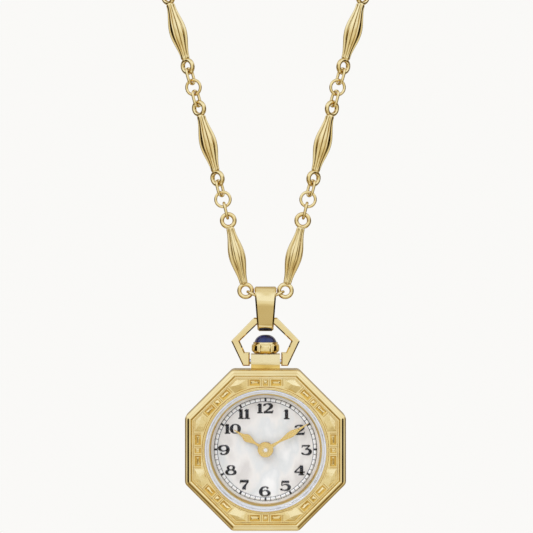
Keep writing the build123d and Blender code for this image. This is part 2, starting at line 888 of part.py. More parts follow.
back_radius = flat_half - back_margin
lip_radius = case_bore_radius - seat_gap
with BuildPart() as case_back:
    with BuildSketch(dial_plane(back_rear)):
        Circle(back_radius)
    extrude(amount=case_rear - back_rear)
    with BuildSketch(dial_plane(case_rear)):
        Circle(lip_radius)
    extrude(amount=back_lip_length)
    with BuildSketch(dial_plane(back_inner)):
        Circle(lip_radius - back_lip_wall)
    extrude(amount=overrun, mode=Mode.SUBTRACT)
    with BuildSketch(dial_plane(case_rear)):
        Circle(lip_radius)
        Circle(lip_radius - gasket_width, mode=Mode.SUBTRACT)
    extrude(amount=gasket_height, mode=Mode.SUBTRACT)
    chamfer(case_back.faces().sort_by(Axis.Y)[-1].edges(), back_bevel)
    with BuildSketch(dial_plane(back_rear)):
        with Locations((0, -back_radius)):
            Circle(back_notch_radius)
    extrude(amount=(case_rear - back_rear) / 2, mode=Mode.SUBTRACT)
save(case_back, "case_back")

with BuildPart() as back_gasket:
    with BuildSketch(dial_plane(case_rear + gasket_gap)):
        Circle(lip_radius - gasket_gap)
        Circle(lip_radius - gasket_width + gasket_gap, mode=Mode.SUBTRACT)
    extrude(amount=gasket_height - 2 * gasket_gap)
save(back_gasket, "case_back_gasket")

# Bezel: stepped octagonal bands round a channel of faceted studs
ridge_outer = flat_half - rim_width
ring_gap = bezel_ring_radius + stud_margin
stud_outer = channel_half - stud_margin
stud_middle = (ring_gap + stud_outer) / 2
stud_width = stud_outer - ring_gap
corner_angle = 180 / side_count
side_half = channel_half * tan(radians(corner_angle))
divider_offset_inner = side_half * divider_inner_share
divider_offset_outer = side_half * divider_outer_share
middle_stud_half = divider_offset_inner - divider_width / 2 - stud_margin
long_stud_start = divider_offset_inner + divider_width / 2 + stud_margin
long_stud_end = divider_offset_outer - divider_width / 2 - stud_margin
corner_start = divider_offset_outer + divider_width / 2 + stud_margin
divider_length = channel_half - sqrt(crystal_seat_radius**2 - divider_offset_outer**2)


def hipped_stud(middle, length, ridge):
    """Stud of a side's ornament, with its ridge along the side, in the dial's own plane."""
    with BuildPart() as stud:
        with BuildSketch(Plane.XY.offset(channel_floor)):
            with Locations((stud_middle, middle)):
                Rectangle(stud_width, length)
        with BuildSketch(Plane.XY.offset(channel_floor + stud_height)):
            with Locations((stud_middle, middle)):
                Rectangle(stud_ridge, ridge)
        loft(ruled=True)
    return stud


def corner_outline():
    """Outline of the stud that fills a corner between two dividers, from the dial's axis."""
    turn = radians(corner_angle)
    outer_side = (
        stud_outer * cos(turn) + corner_start * sin(turn),
        stud_outer * sin(turn) - corner_start * cos(turn),
    )
    inner_across = sqrt(ring_gap**2 - corner_start**2)
    inner_side = (
        inner_across * cos(turn) + corner_start * sin(turn),
        inner_across * sin(turn) - corner_start * cos(turn),
    )
    return [
        (stud_outer / cos(turn), 0),
        outer_side,
        inner_side,
        (inner_side[0], -inner_side[1]),
        (outer_side[0], -outer_side[1]),
    ]


long_stud_middle = (long_stud_start + long_stud_end) / 2
long_stud_length = long_stud_end - long_stud_start
with BuildPart() as side_studs:
    add(hipped_stud(0, 2 * middle_stud_half, stud_ridge).part)
    for side in (-1, 1):
        ridge = long_stud_length - 2 * stud_end_slope
        add(hipped_stud(side * long_stud_middle, long_stud_length, ridge).part)

corner_points = corner_outline()
corner_middle = sum(x for x, y in corner_points) / len(corner_points)
peak_share = stud_ridge / stud_width
with BuildPart() as corner_stud:
    with BuildSketch(Plane.XY.offset(channel_floor)):
        Polygon(*corner_points, align=None)
    with BuildSketch(Plane.XY.offset(channel_floor + stud_height)):
        Polygon(
            *[
                (corner_middle + (x - corner_middle) * peak_share, y * peak_share)
                for x, y in corner_points
            ],
            align=None,
        )
    loft(ruled=True)

with BuildPart() as bezel:
    with BuildSketch(dial_plane(case_front)) as outline:
        octagon(flat_half)
        fillet(outline.vertices(), corner_round)
    extrude(amount=rim_front - case_front)
    fillet(bezel.faces().sort_by(Axis.Y)[0].edges(), rim_round)
    with BuildSketch(dial_plane(rim_front - valley_depth)):
        octagon(ridge_outer)
    extrude(amount=overrun, mode=Mode.SUBTRACT)
    with BuildSketch(dial_plane(rim_front - valley_depth)):
        octagon(ridge_outer - ridge_inset)
    extrude(amount=ridge_front - rim_front + valley_depth, taper=ridge_slope)
    fillet(bezel.faces().sort_by(Axis.Y)[0].edges(), ridge_round)
    with BuildSketch(dial_plane(channel_floor)):
        octagon(channel_half)
    extrude(amount=overrun, mode=Mode.SUBTRACT)
    with BuildSketch(dial_plane(frame_front)):
        octagon(channel_half + frame_width)
    extrude(amount=overrun, mode=Mode.SUBTRACT)
    with BuildSketch(dial_plane(channel_floor)):
        with PolarLocations(0, side_count):
            for place in (
                -divider_offset_outer,
                -divider_offset_inner,
                divider_offset_inner,
                divider_offset_outer,
            ):
                with Locations((channel_half + frame_width / 2, place)):
                    Rectangle(divider_length, divider_width, align=(Align.MAX, Align.CENTER))
    extrude(amount=frame_front - channel_floor)
    with Locations(dial_plane(0).location):
        with PolarLocations(0, side_count):
            add(side_studs.part)
        with PolarLocations(0, side_count, start_angle=corner_angle):
            add(corner_stud.part)
    with BuildSketch(dial_plane(channel_floor)):
        Circle(bezel_ring_radius)
    extrude(amount=bezel_ring_front - bezel_ring_step - channel_floor)
    with BuildSketch(dial_plane(channel_floor)):
        Circle(bezel_ring_radius - bezel_ring_ledge)
    extrude(amount=bezel_ring_front - channel_floor)
    with BuildSketch(dial_plane(case_front)):
        Circle(lip_radius)
    extrude(amount=-spigot_length)
    with BuildSketch(dial_plane(case_front - spigot_length)):
        Circle(crystal_seat_radius)
    extrude(amount=bezel_ring_front + spigot_length, mode=Mode.SUBTRACT)
save(bezel, "bezel")

# Crystal, its gasket, the flange ring and the dial
turning_plane = Plane(origin=(0, 0, case_z), x_dir=(1, 0, 0), z_dir=(0, 0, -1))
crystal_edge_front = crystal_front - crystal_dome
crystal_dome_radius = (crystal_radius**2 + crystal_dome**2) / (2 * crystal_dome)
with BuildPart() as crystal:
    with BuildSketch(turning_plane):
        with BuildLine():
            RadiusArc(
                (0, crystal_front), (crystal_radius, crystal_edge_front), crystal_dome_radius
            )
            Polyline(
                (crystal_radius, crystal_edge_front),
                (crystal_radius, flange_front),
                (0, flange_front),
                (0, crystal_front),
            )
        make_face()
    revolve(axis=watch_axis)
save(crystal, "crystal")

with BuildPart() as crystal_gasket:
    with BuildSketch(dial_plane(flange_front)):
        Circle(crystal_seat_radius - gasket_gap)
        Circle(crystal_radius + gasket_gap, mode=Mode.SUBTRACT)
    extrude(amount=crystal_thickness - crystal_dome)
save(crystal_gasket, "crystal_gasket")

flange_outer = crystal_seat_radius - seat_gap
with BuildPart() as flange_ring:
    with BuildSketch(turning_plane):
        with BuildLine():
            Polyline(
                (flange_inner_radius, dial_front),
                (flange_outer, dial_front),
                (flange_outer, flange_front),
                (flange_outer - flange_rim, flange_front),
                (flange_outer - flange_rim, flange_ledge_front),
                (flange_inner_radius + flange_lean, flange_ledge_front),
                close=True,
            )
        make_face()
    revolve(axis=watch_axis)
save(flange_ring, "flange_ring")

foot_x, foot_y = (share * movement_radius for share in dial_foot_shares)
with BuildPart() as dial:
    with BuildSketch(dial_plane(dial_rear)):
        Circle(dial_radius)
        Circle(cannon_pipe_radius + running_gap + hour_pipe_wall + running_gap, mode=Mode.SUBTRACT)
    extrude(amount=dial_thickness)
    with BuildSketch(dial_plane(dial_rear)):
        with Locations((foot_x, foot_y), (-foot_x, -foot_y)):
            Circle(dial_foot_radius)
    extrude(amount=-dial_foot_length)
save(dial, "dial")


# Gears


def gear_outline(teeth, module, phase):
    """Points of a gear with straight-flanked teeth and one tip at the phase angle."""
    points = []
    for tooth in range(teeth):
        for part, reach in ((0, tooth_addendum_share), (1 / 2, -tooth_dedendum_share)):
            angle = radians(phase + (tooth + part) * 360 / teeth)
            radius = module * (teeth / 2 + reach)
            points.append((radius * cos(angle), radius * sin(angle)))
    return points


def meshing_phase(phase, teeth, direction, other_teeth):
    """Phase of a gear that meshes with another one, lying from it in that direction."""
    offset = (direction - phase) * teeth / 360
    return direction + 180 - (1 / 2 - offset) * 360 / other_teeth


def polar(radius, angle):
    """Point at a radius and an angle in the dial's plane."""
    return (radius * cos(radians(angle)), radius * sin(radians(angle)))


def shifted(place, other):
    """Sum of two points."""
    return (place[0] + other[0], place[1] + other[1])


cannon_phase = 0
minute_distance = motion_module * (cannon_teeth + minute_wheel_teeth) / 2
minute_place = polar(minute_distance, minute_wheel_angle)
minute_phase = meshing_phase(cannon_phase, cannon_teeth, minute_wheel_angle, minute_wheel_teeth)
hour_phase = 0
minute_pinion_phase = meshing_phase(
    hour_phase, hour_wheel_teeth, minute_wheel_angle, minute_pinion_teeth
)
setting_angle = degrees(
    atan2(setting_wheel_place[1] - minute_place[1], setting_wheel_place[0] - minute_place[0])
)
setting_phase = meshing_phase(
    minute_phase, minute_wheel_teeth, setting_angle, setting_wheel_teeth
)
centre_phase = 0
reduction_distance = train_module * (reduction_pinion_teeth + centre_wheel_teeth) / 2
reduction_place = polar(reduction_distance, reduction_angle)
reduction_pinion_phase = meshing_phase(
    centre_phase, centre_wheel_teeth, reduction_angle, reduction_pinion_teeth
)
rotor_distance = train_module * (rotor_pinion_teeth + reduction_wheel_teeth) / 2
rotor_place = shifted(reduction_place, polar(rotor_distance, rotor_angle))
rotor_phase = meshing_phase(0, reduction_wheel_teeth, rotor_angle, rotor_pinion_teeth)
arbor_bottom = bridge_front - bridge_thickness + running_gap
arbor_top = pocket_floor - running_gap

# The cannon pinion's pipe runs from the centre wheel out through the dial to the minute hand
with BuildPart() as cannon_pinion:
    with BuildSketch(dial_plane(minute_wheel_level)):
        Polygon(*gear_outline(cannon_teeth, motion_module, cannon_phase), align=None)
    extrude(amount=wheel_thickness)
    with BuildSketch(dial_plane(minute_wheel_level)):
        Circle(cannon_pipe_radius)
    extrude(amount=minute_hand_level + hand_thickness - minute_wheel_level)
    with BuildSketch(dial_plane(arbor_bottom)):
        Circle(arbor_radius)
    extrude(amount=minute_wheel_level - arbor_bottom)
save(cannon_pinion, "cannon_pinion")

with BuildPart() as centre_wheel:
    with BuildSketch(dial_plane(centre_wheel_level)):
        Polygon(*gear_outline(centre_wheel_teeth, train_module, centre_phase), align=None)
        Circle(arbor_radius, mode=Mode.SUBTRACT)
    extrude(amount=wheel_thickness)
save(centre_wheel, "centre_wheel")

with BuildPart() as reduction_wheel:
    with BuildSketch(dial_plane(reduction_wheel_level)):
        with Locations(reduction_place):
            Polygon(*gear_outline(reduction_wheel_teeth, train_module, 0), align=None)
    extrude(amount=wheel_thickness)
    with BuildSketch(dial_plane(reduction_wheel_level)):
        with Locations(reduction_place):
            Polygon(
                *gear_outline(reduction_pinion_teeth, train_module, reduction_pinion_phase),
                align=None,
            )
    extrude(amount=centre_wheel_level + wheel_thickness - reduction_wheel_level)
    with BuildSketch(dial_plane(arbor_bottom)):
        with Locations(reduction_place):
            Circle(arbor_radius)
    extrude(amount=arbor_top - arbor_bottom)
save(reduction_wheel, "reduction_wheel")

with BuildPart() as rotor:
    with BuildSketch(dial_plane(rotor_magnet_front - rotor_magnet_length)):
        with Locations(rotor_place):
            Circle(rotor_magnet_radius)
    extrude(amount=rotor_magnet_length)
    with BuildSketch(dial_plane(rotor_magnet_front)):
        with Locations(rotor_place):
            Polygon(*gear_outline(rotor_pinion_teeth, train_module, rotor_phase), align=None)
    extrude(amount=reduction_wheel_level + wheel_thickness - rotor_magnet_front)
    with BuildSketch(dial_plane(arbor_bottom)):
        with Locations(rotor_place):
            Circle(arbor_radius)
    extrude(amount=arbor_top - arbor_bottom)
save(rotor, "rotor")

with BuildPart() as minute_wheel:
    with BuildSketch(dial_plane(minute_wheel_level)):
        with Locations(minute_place):
            Polygon(*gear_outline(minute_wheel_teeth, motion_module, minute_phase), align=None)
            Circle(arbor_radius + seat_gap, mode=Mode.SUBTRACT)
    extrude(amount=wheel_thickness)
    with BuildSketch(dial_plane(minute_wheel_level + wheel_thickness)):
        with Locations(minute_place):
            Polygon(
                *gear_outline(minute_pinion_teeth, hour_module, minute_pinion_phase), align=None
            )
            Circle(arbor_radius + seat_gap, mode=Mode.SUBTRACT)
    extrude(amount=hour_wheel_level - minute_wheel_level)
save(minute_wheel, "minute_wheel")

hour_pipe_inner = cannon_pipe_radius + running_gap
with BuildPart() as hour_wheel:
    with BuildSketch(dial_plane(hour_wheel_level)):
        Polygon(*gear_outline(hour_wheel_teeth, hour_module, hour_phase), align=None)
        Circle(hour_pipe_inner, mode=Mode.SUBTRACT)
    extrude(amount=wheel_thickness)
    with BuildSketch(dial_plane(hour_wheel_level)):
        Circle(hour_pipe_inner + hour_pipe_wall)
        Circle(hour_pipe_inner, mode=Mode.SUBTRACT)
    extrude(amount=hour_hand_level + hand_thickness - hour_wheel_level)
save(hour_wheel, "hour_wheel")

with BuildPart() as setting_wheel:
    with BuildSketch(dial_plane(minute_wheel_level)):
        with Locations(setting_wheel_place):
            Polygon(*gear_outline(setting_wheel_teeth, motion_module, setting_phase), align=None)
            Circle(arbor_radius + seat_gap, mode=Mode.SUBTRACT)
    extrude(amount=wheel_thickness)
save(setting_wheel, "setting_wheel")

# Hands


def hand(level, length, angle, hub_radius, hole_radius, leaf_shares):
    """Leaf-shaped hand with a round hub, pointing at an angle in the dial's plane."""
    edge = [(length * place, length * half) for place, half in leaf_shares]
    tip = (length, length * hand_tip_share)
    towards_tip = (tip[0] - edge[-1][0], tip[1] - edge[-1][1])
    with BuildSketch() as leaf:
        with BuildLine():
            Spline(*edge, tangents=((1, 0), towards_tip))
            Polyline(edge[-1], tip, (tip[0], 0), (edge[0][0], 0), edge[0])
        make_face()
        mirror(about=Plane.XZ)
    with BuildPart() as piece:
        with BuildSketch(dial_plane(level)):
            add(leaf.sketch, rotation=angle)
            Circle(hub_radius)
            Circle(hole_radius, mode=Mode.SUBTRACT)
        extrude(amount=hand_thickness)
    return piece


hour_hand = hand(
    hour_hand_level,
    hour_hand_length,
    hour_hand_angle,
    hour_hub_radius,
    hour_pipe_inner + hour_pipe_wall,
    hour_leaf_shares,
)
save(hour_hand, "hour_hand")
minute_hand = hand(
    minute_hand_level,
    minute_hand_length,
    minute_hand_angle,
    minute_hub_radius,
    cannon_pipe_radius,
    minute_leaf_shares,
)
save(minute_hand, "minute_hand")

with BuildPart() as hand_pin:
    with BuildSketch(dial_plane(minute_hand_level + hand_thickness)):
        Circle(hand_pin_radius)
    extrude(amount=hand_thickness)
save(hand_pin, "hand_pin")

# Main plate, bridge, holder ring and the electric parts between them
minute_wheel_radius = motion_module * (minute_wheel_teeth / 2 + tooth_addendum_share)
hour_wheel_radius = hour_module * (hour_wheel_teeth / 2 + tooth_addendum_share)
setting_wheel_radius = motion_module * (setting_wheel_teeth / 2 + tooth_addendum_share)
pillar_place_radius = movement_radius - pillar_edge


def in_movement(place_shares):
    """Place in the movement, given as shares of its radius."""
    return tuple(share * movement_radius for share in place_shares)


battery_place = in_movement(battery_place_shares)
battery_radius = movement_radius * battery_share
coil_place = in_movement(coil_place_shares)
coil_length = movement_radius * coil_length_share
board_place = in_movement(board_place_shares)
board_width, board_height = in_movement(board_size_shares)
quartz_place = in_movement(quartz_place_shares)
quartz_length = movement_radius * quartz_length_share
with BuildPart() as main_plate:
    with BuildSketch(dial_plane(plate_rear)):
        Circle(movement_radius)
    extrude(amount=dial_rear - plate_rear)
    with BuildSketch(dial_plane(pocket_floor)):
        Circle(hour_wheel_radius + pocket_gap)
        with Locations(minute_place):
            Circle(minute_wheel_radius + pocket_gap)
        with Locations(setting_wheel_place):
            Circle(setting_wheel_radius + pocket_gap)
    extrude(amount=overrun, mode=Mode.SUBTRACT)
    with BuildSketch(dial_plane(plate_rear - overrun)):
        with Locations((0, 0), reduction_place, rotor_place):
            Circle(arbor_radius + running_gap)
        with Locations((foot_x, foot_y), (-foot_x, -foot_y)):
            Circle(dial_foot_radius + seat_gap)
    extrude(amount=3 * overrun, mode=Mode.SUBTRACT)
    with BuildSketch(dial_plane(plate_rear)):
        with Locations((0, clutch_bottom + (clutch_length + crown_travel) / 2)):
            Rectangle(2 * (clutch_radius + pocket_gap), clutch_length + crown_travel + 2 * pocket_gap)
    extrude(amount=clutch_radius + pocket_gap - plate_rear, mode=Mode.SUBTRACT)
    with BuildSketch(dial_plane(pocket_floor)):
        with Locations(minute_place, setting_wheel_place):
            Circle(arbor_radius)
    extrude(amount=dial_rear - pocket_floor)
save(main_plate, "main_plate")

with BuildPart() as bridge:
    with BuildSketch(dial_plane(bridge_front - bridge_thickness)):
        Circle(movement_radius)
        with Locations(battery_place):
            Circle(battery_radius + pocket_gap, mode=Mode.SUBTRACT)
        with Locations((0, 0), reduction_place, rotor_place):
            Circle(arbor_radius + running_gap, mode=Mode.SUBTRACT)
    extrude(amount=bridge_thickness)
    with BuildSketch(dial_plane(bridge_front)):
        for angle in pillar_angles:
            with Locations(polar(pillar_place_radius, angle)):
                Circle(pillar_radius)
    extrude(amount=plate_rear - bridge_front)
save(bridge, "train_bridge")

holder_rear = case_rear + back_lip_length + seat_gap
with BuildPart() as holder:
    with BuildSketch(dial_plane(holder_rear)):
        Circle(lip_radius)
        Circle(movement_radius + seat_gap, mode=Mode.SUBTRACT)
    extrude(amount=case_front - spigot_length - seat_gap - holder_rear)
    with BuildSketch(level_plane(movement_radius - overrun)):
        Circle(neck_bore_radius)
    extrude(amount=case_bore_radius, mode=Mode.SUBTRACT)
save(holder, "movement_holder")

with BuildPart() as battery:
    with BuildSketch(dial_plane(battery_front - battery_thickness)):
        with Locations(battery_place):
            Circle(battery_radius)
    extrude(amount=battery_thickness)
save(battery, "battery")

# Coil on a straight core between the stator's two arms, which meet round the rotor
coil_direction = polar(1, coil_tilt)
coil_side = polar(1, coil_tilt - 90)
stator_rear = rotor_magnet_front - (rotor_magnet_length + stator_thickness) / 2
coil_depth = stator_rear + stator_thickness / 2
coil_plane = Plane(
    origin=(coil_place[0], -coil_depth, case_z + coil_place[1]),
    x_dir=(0, 1, 0),
    z_dir=(coil_direction[0], 0, coil_direction[1]),
)
with BuildPart() as coil:
    with BuildSketch(coil_plane.offset(-coil_length / 2)):
        Circle(coil_radius)
        Circle(coil_core_radius + seat_gap, mode=Mode.SUBTRACT)
    extrude(amount=coil_length)
save(coil, "drive_coil")

core_half = coil_length / 2 + seat_gap
arm_place = core_half + stator_arm_width / 2
stator_ring_radius = rotor_magnet_radius + stator_air_gap + stator_ring_width
with BuildPart() as stator:
    with BuildSketch(dial_plane(stator_rear)):
        for reach in (-arm_place, arm_place):
            core_end = beyond(coil_place, coil_direction, reach)
            with BuildLine():
                Polyline(rotor_place, beyond(core_end, coil_side, stator_elbow), core_end)
                offset(amount=stator_arm_width / 2, kind=Kind.ARC)
            make_face()
        with Locations(rotor_place):
            Circle(stator_ring_radius)
            Circle(rotor_magnet_radius + stator_air_gap, mode=Mode.SUBTRACT)
    extrude(amount=stator_thickness)
    with BuildSketch(coil_plane.offset(-arm_place)):
        Circle(coil_core_radius)
    extrude(amount=2 * arm_place)
save(stator, "stator")

with BuildPart() as circuit_board:
    with BuildSketch(dial_plane(board_front - board_thickness)):
        with Locations(board_place):
            Rectangle(board_width, board_height)
        Circle(movement_radius - board_edge, mode=Mode.INTERSECT)
        with Locations(battery_place):
            Circle(battery_radius + board_edge, mode=Mode.SUBTRACT)
        for angle in pillar_angles:
            with Locations(polar(pillar_place_radius, angle)):
                Circle(pillar_radius + pocket_gap, mode=Mode.SUBTRACT)
    extrude(amount=board_thickness)
save(circuit_board, "circuit_board")

quartz_direction = polar(1, quartz_tilt)
quartz_plane = Plane(
    origin=(quartz_place[0], -board_front - quartz_radius, case_z + quartz_place[1]),
    x_dir=(0, 1, 0),
    z_dir=(quartz_direction[0], 0, quartz_direction[1]),
)
with BuildPart() as quartz_can:
    with BuildSketch(quartz_plane.offset(-quartz_length / 2)):
        Circle(quartz_radius)
    extrude(amount=quartz_length)
    chamfer(quartz_can.edges(), quartz_radius / 4)
save(quartz_can, "quartz_can")
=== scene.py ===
"""Looks of a gold pendant watch that hangs from its chain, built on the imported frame."""

import json
import math

import bmesh
import bpy
import numpy as np
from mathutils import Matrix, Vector


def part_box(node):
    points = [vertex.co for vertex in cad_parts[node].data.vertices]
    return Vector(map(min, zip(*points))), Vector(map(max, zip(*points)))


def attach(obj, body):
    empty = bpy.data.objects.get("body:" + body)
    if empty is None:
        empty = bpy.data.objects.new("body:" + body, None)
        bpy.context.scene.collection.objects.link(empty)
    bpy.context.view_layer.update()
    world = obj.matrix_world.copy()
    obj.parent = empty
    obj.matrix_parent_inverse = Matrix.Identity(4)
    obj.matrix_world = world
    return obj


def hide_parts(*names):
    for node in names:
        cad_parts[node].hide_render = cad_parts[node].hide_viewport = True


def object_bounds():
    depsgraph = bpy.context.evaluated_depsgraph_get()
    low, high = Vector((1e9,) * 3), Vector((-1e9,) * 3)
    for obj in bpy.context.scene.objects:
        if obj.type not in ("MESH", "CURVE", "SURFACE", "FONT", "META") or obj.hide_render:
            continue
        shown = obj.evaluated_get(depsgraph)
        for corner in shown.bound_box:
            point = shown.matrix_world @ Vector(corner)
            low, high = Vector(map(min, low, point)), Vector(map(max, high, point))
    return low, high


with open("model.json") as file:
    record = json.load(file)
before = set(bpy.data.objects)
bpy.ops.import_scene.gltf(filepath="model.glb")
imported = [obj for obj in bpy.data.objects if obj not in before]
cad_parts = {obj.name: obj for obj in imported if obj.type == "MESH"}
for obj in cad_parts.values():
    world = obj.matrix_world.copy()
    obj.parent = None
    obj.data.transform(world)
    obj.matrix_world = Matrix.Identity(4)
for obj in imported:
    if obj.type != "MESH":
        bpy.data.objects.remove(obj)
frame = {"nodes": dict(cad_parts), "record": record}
cad_low, cad_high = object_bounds()
nodes = frame["nodes"]
MM = 0.001

# Frame values
case_low, case_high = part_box("case_middle")
CASE_Z = (case_low.z + case_high.z) / 2
DIAL_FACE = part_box("dial")[0].y

# Colours, linear
GOLD = (0.88, 0.69, 0.30)
GOLD_DEEP = (0.84, 0.63, 0.25)
# Painted shade: metal faces seen edge-on darken toward these colours
EDGE_PAINTED_SHADE = (0.50, 0.32, 0.07)
EDGE_DEEPER_PAINTED_SHADE = (0.36, 0.21, 0.03)
PALE = (0.955, 0.948, 0.93)

# Sizes of the slow drift and the fine grain of metal, in metres
METAL_DRIFT = 0.004
METAL_GRAIN = 0.0004
# Lowest and highest roughness as shares of the roughness that is asked for
METAL_ROUGHNESS = (0.7, 1.4)
PLAIN_ROUGHNESS = (0.8, 1.2)
# Blend of the Layer Weight that spreads the painted edge shade
EDGE_BLEND = 0.3
# Where most of a noise's values lie
NOISE_LOW, NOISE_HIGH = 0.3, 0.7


def new_material(name, **values):
    """Node material whose shader sockets hold these values."""
    material = bpy.data.materials.new(name)
    material.use_nodes = True
    shader = material.node_tree.nodes["Principled BSDF"]
    for socket, value in values.items():
        shader.inputs[socket.replace("_", " ")].default_value = value
    return material


def coordinates(tree):
    """Place on the surface, in metres of the shared frame."""
    return tree.nodes.new("ShaderNodeTexCoord").outputs["Object"]


def noise(tree, size, detail=3, stretch=None):
    """Noise whose lumps are about that size, in metres."""
    texture = tree.nodes.new("ShaderNodeTexNoise")
    texture.inputs["Scale"].default_value = 1 / size
    texture.inputs["Detail"].default_value = detail
    place = coordinates(tree)
    if stretch:
        mapping = tree.nodes.new("ShaderNodeMapping")
        mapping.inputs["Scale"].default_value = stretch
        tree.links.new(place, mapping.inputs["Vector"])
        place = mapping.outputs["Vector"]
    tree.links.new(place, texture.inputs["Vector"])
    return texture.outputs["Fac"]


def feed(tree, socket, value):
    """Link another node's output to a socket, or set the socket to a value."""
    if isinstance(value, bpy.types.NodeSocket):
        tree.links.new(value, socket)
    else:
        socket.default_value = value


def computed(tree, operation, first, second, clamp=False):
    """Result of a Math node; each input is a number or another node's output."""
    node = tree.nodes.new("ShaderNodeMath")
    node.operation = operation
    node.use_clamp = clamp
    feed(tree, node.inputs[0], first)
    feed(tree, node.inputs[1], second)
    return node.outputs["Value"]


def mixed(tree, first, second, factor=1.0, blend="MULTIPLY"):
    """Colour from a Mix node; each input is a value or another node's output."""
    node = tree.nodes.new("ShaderNodeMix")
    node.data_type = "RGBA"
    node.blend_type = blend
    feed(tree, node.inputs["Factor"], factor)
    feed(tree, node.inputs["A"], first)
    feed(tree, node.inputs["B"], second)
    return node.outputs["Result"]


def ranged(tree, source, limits, interpolation="LINEAR"):
    """A value moved to another range; the limits are from min, from max, to min and to max."""
    node = tree.nodes.new("ShaderNodeMapRange")
    node.interpolation_type = interpolation
    for socket, value in zip(("From Min", "From Max", "To Min", "To Max"), limits):
        node.inputs[socket].default_value = value
    tree.links.new(source, node.inputs["Value"])
    return node.outputs["Result"]


def spread(tree, source, low, high):
    """A value from low to high over the middle of a noise."""
    return ranged(tree, source, (NOISE_LOW, NOISE_HIGH, low, high))


def parted(tree, source):
    """Node whose outputs are the X, Y and Z of a vector."""
    node = tree.nodes.new("ShaderNodeSeparateXYZ")
    tree.links.new(source, node.inputs["Vector"])
    return node


def bumped(tree, height, distance):
    """Bend the shader's normal by a height, which the distance scales."""
    bump = tree.nodes.new("ShaderNodeBump")
    bump.inputs["Strength"].default_value = 1.0
    bump.inputs["Distance"].default_value = distance
    tree.links.new(height, bump.inputs["Height"])
    tree.links.new(bump.outputs["Normal"], tree.nodes["Principled BSDF"].inputs["Normal"])


def tint(tree, source, stops):
    """Colours along a value from 0 to 1."""
    ramp = tree.nodes.new("ShaderNodeValToRGB")
    elements = ramp.color_ramp.elements
    while len(elements) < len(stops):
        elements.new(0.5)
    for element, (place, colour) in zip(elements, stops):
        element.position = place
        element.color = (*colour, 1)
    tree.links.new(source, ramp.inputs["Fac"])
    return ramp.outputs["Color"]


def polished(name, colour, deep, roughness, edge=None, swell=0.0, wave=0.005):
    """Polished metal with a slow colour drift, a fine change of roughness, slow waves and, when an
    edge colour is given, painted shade on faces seen edge-on.
    """
    material = new_material(name, Metallic=1.0)
    tree = material.node_tree
    shader = tree.nodes["Principled BSDF"]
    base = tint(tree, noise(tree, METAL_DRIFT), ((0.3, deep), (0.6, colour)))
    # Painted shade: faces seen edge-on take on the dark edge colour
    if edge:
        facing = tree.nodes.new("ShaderNodeLayerWeight")
        facing.inputs["Blend"].default_value = EDGE_BLEND
        base = mixed(tree, base, (*edge, 1), facing.outputs["Facing"], "MIX")
    tree.links.new(base, shader.inputs["Base Color"])
    smooth, rough = (roughness * share for share in METAL_ROUGHNESS)
    grain = noise(tree, METAL_GRAIN, detail=4)
    tree.links.new(spread(tree, grain, smooth, rough), shader.inputs["Roughness"])
    if swell:
        bumped(tree, noise(tree, wave, detail=1), swell)
    return material


gold_bezel = polished("gold_bezel", GOLD, GOLD_DEEP, 0.10, EDGE_PAINTED_SHADE, swell=0.0002)
gold_cast = polished("gold_cast", GOLD, GOLD_DEEP, 0.16, EDGE_PAINTED_SHADE, swell=0.00004, wave=0.0005)
gold_case = polished("gold_case", GOLD, GOLD_DEEP, 0.12, EDGE_PAINTED_SHADE, swell=0.0002)
gold_bail = polished("gold_bail", GOLD, GOLD_DEEP, 0.12, EDGE_PAINTED_SHADE)
gold_chain = polished("gold_chain", GOLD, GOLD_DEEP, 0.10, EDGE_DEEPER_PAINTED_SHADE)
gold_neck = polished("gold_neck", (0.91, 0.755, 0.395), (0.88, 0.72, 0.35), 0.16, EDGE_PAINTED_SHADE)
gold_hand = polished("gold_hand", (0.80, 0.57, 0.20), (0.72, 0.49, 0.15), 0.2)
gear_brass = polished("gear_brass", (0.78, 0.60, 0.28), (0.68, 0.50, 0.2), 0.25)
steel = polished("steel", (0.62, 0.62, 0.64), (0.5, 0.5, 0.52), 0.22)
silver = polished("silver", (0.87, 0.84, 0.77), (0.80, 0.77, 0.71), 0.14)
nickel = polished("nickel", (0.70, 0.68, 0.64), (0.6, 0.58, 0.54), 0.28)
copper = polished("copper", (0.75, 0.36, 0.18), (0.6, 0.26, 0.12), 0.3)

# Painted shade: the chain's base colour darkens in hollows, such as those between the ribs of the
# bars, where shade falls
chain_tree = gold_chain.node_tree
chain_colour = chain_tree.nodes["Principled BSDF"].inputs["Base Color"]
pointiness = chain_tree.nodes.new("ShaderNodeNewGeometry").outputs["Pointiness"]
painted_crease_shade = tint(chain_tree, pointiness, ((0.44, (0.30, 0.22, 0.10)), (0.495, (1.0, 1.0, 1.0))))
chain_tree.links.new(
    mixed(chain_tree, chain_colour.links[0].from_socket, painted_crease_shade), chain_colour
)

# The bail's front leans back a little more toward its foot
BAIL_CURVE = 0.07
BAIL_FLAT_HEIGHT = 0.0045
bail_tree = gold_bail.node_tree
bail_high = max(vertex.co.z for vertex in nodes["bail"].data.vertices)
bail_up = parted(bail_tree, coordinates(bail_tree)).outputs["Z"]
below = computed(bail_tree, "SUBTRACT", bail_high - BAIL_FLAT_HEIGHT, bail_up, clamp=True)
square = computed(bail_tree, "POWER", below, 2)
bumped(bail_tree, computed(bail_tree, "MULTIPLY", square, -1 / (2 * BAIL_CURVE)), 1.0)


def plain(name, colour, deep, roughness, lump=0.002, **values):
    """Plastic, rubber or lacquer with a little colour and gloss variation."""
    material = new_material(name, **values)
    tree = material.node_tree
    shader = tree.nodes["Principled BSDF"]
    drift = noise(tree, lump)
    tree.links.new(tint(tree, drift, ((0.3, deep), (0.7, colour))), shader.inputs["Base Color"])
    smooth, rough = (roughness * share for share in PLAIN_ROUGHNESS)
    tree.links.new(
        spread(tree, noise(tree, lump / 4), smooth, rough), shader.inputs["Roughness"]
    )
    return material


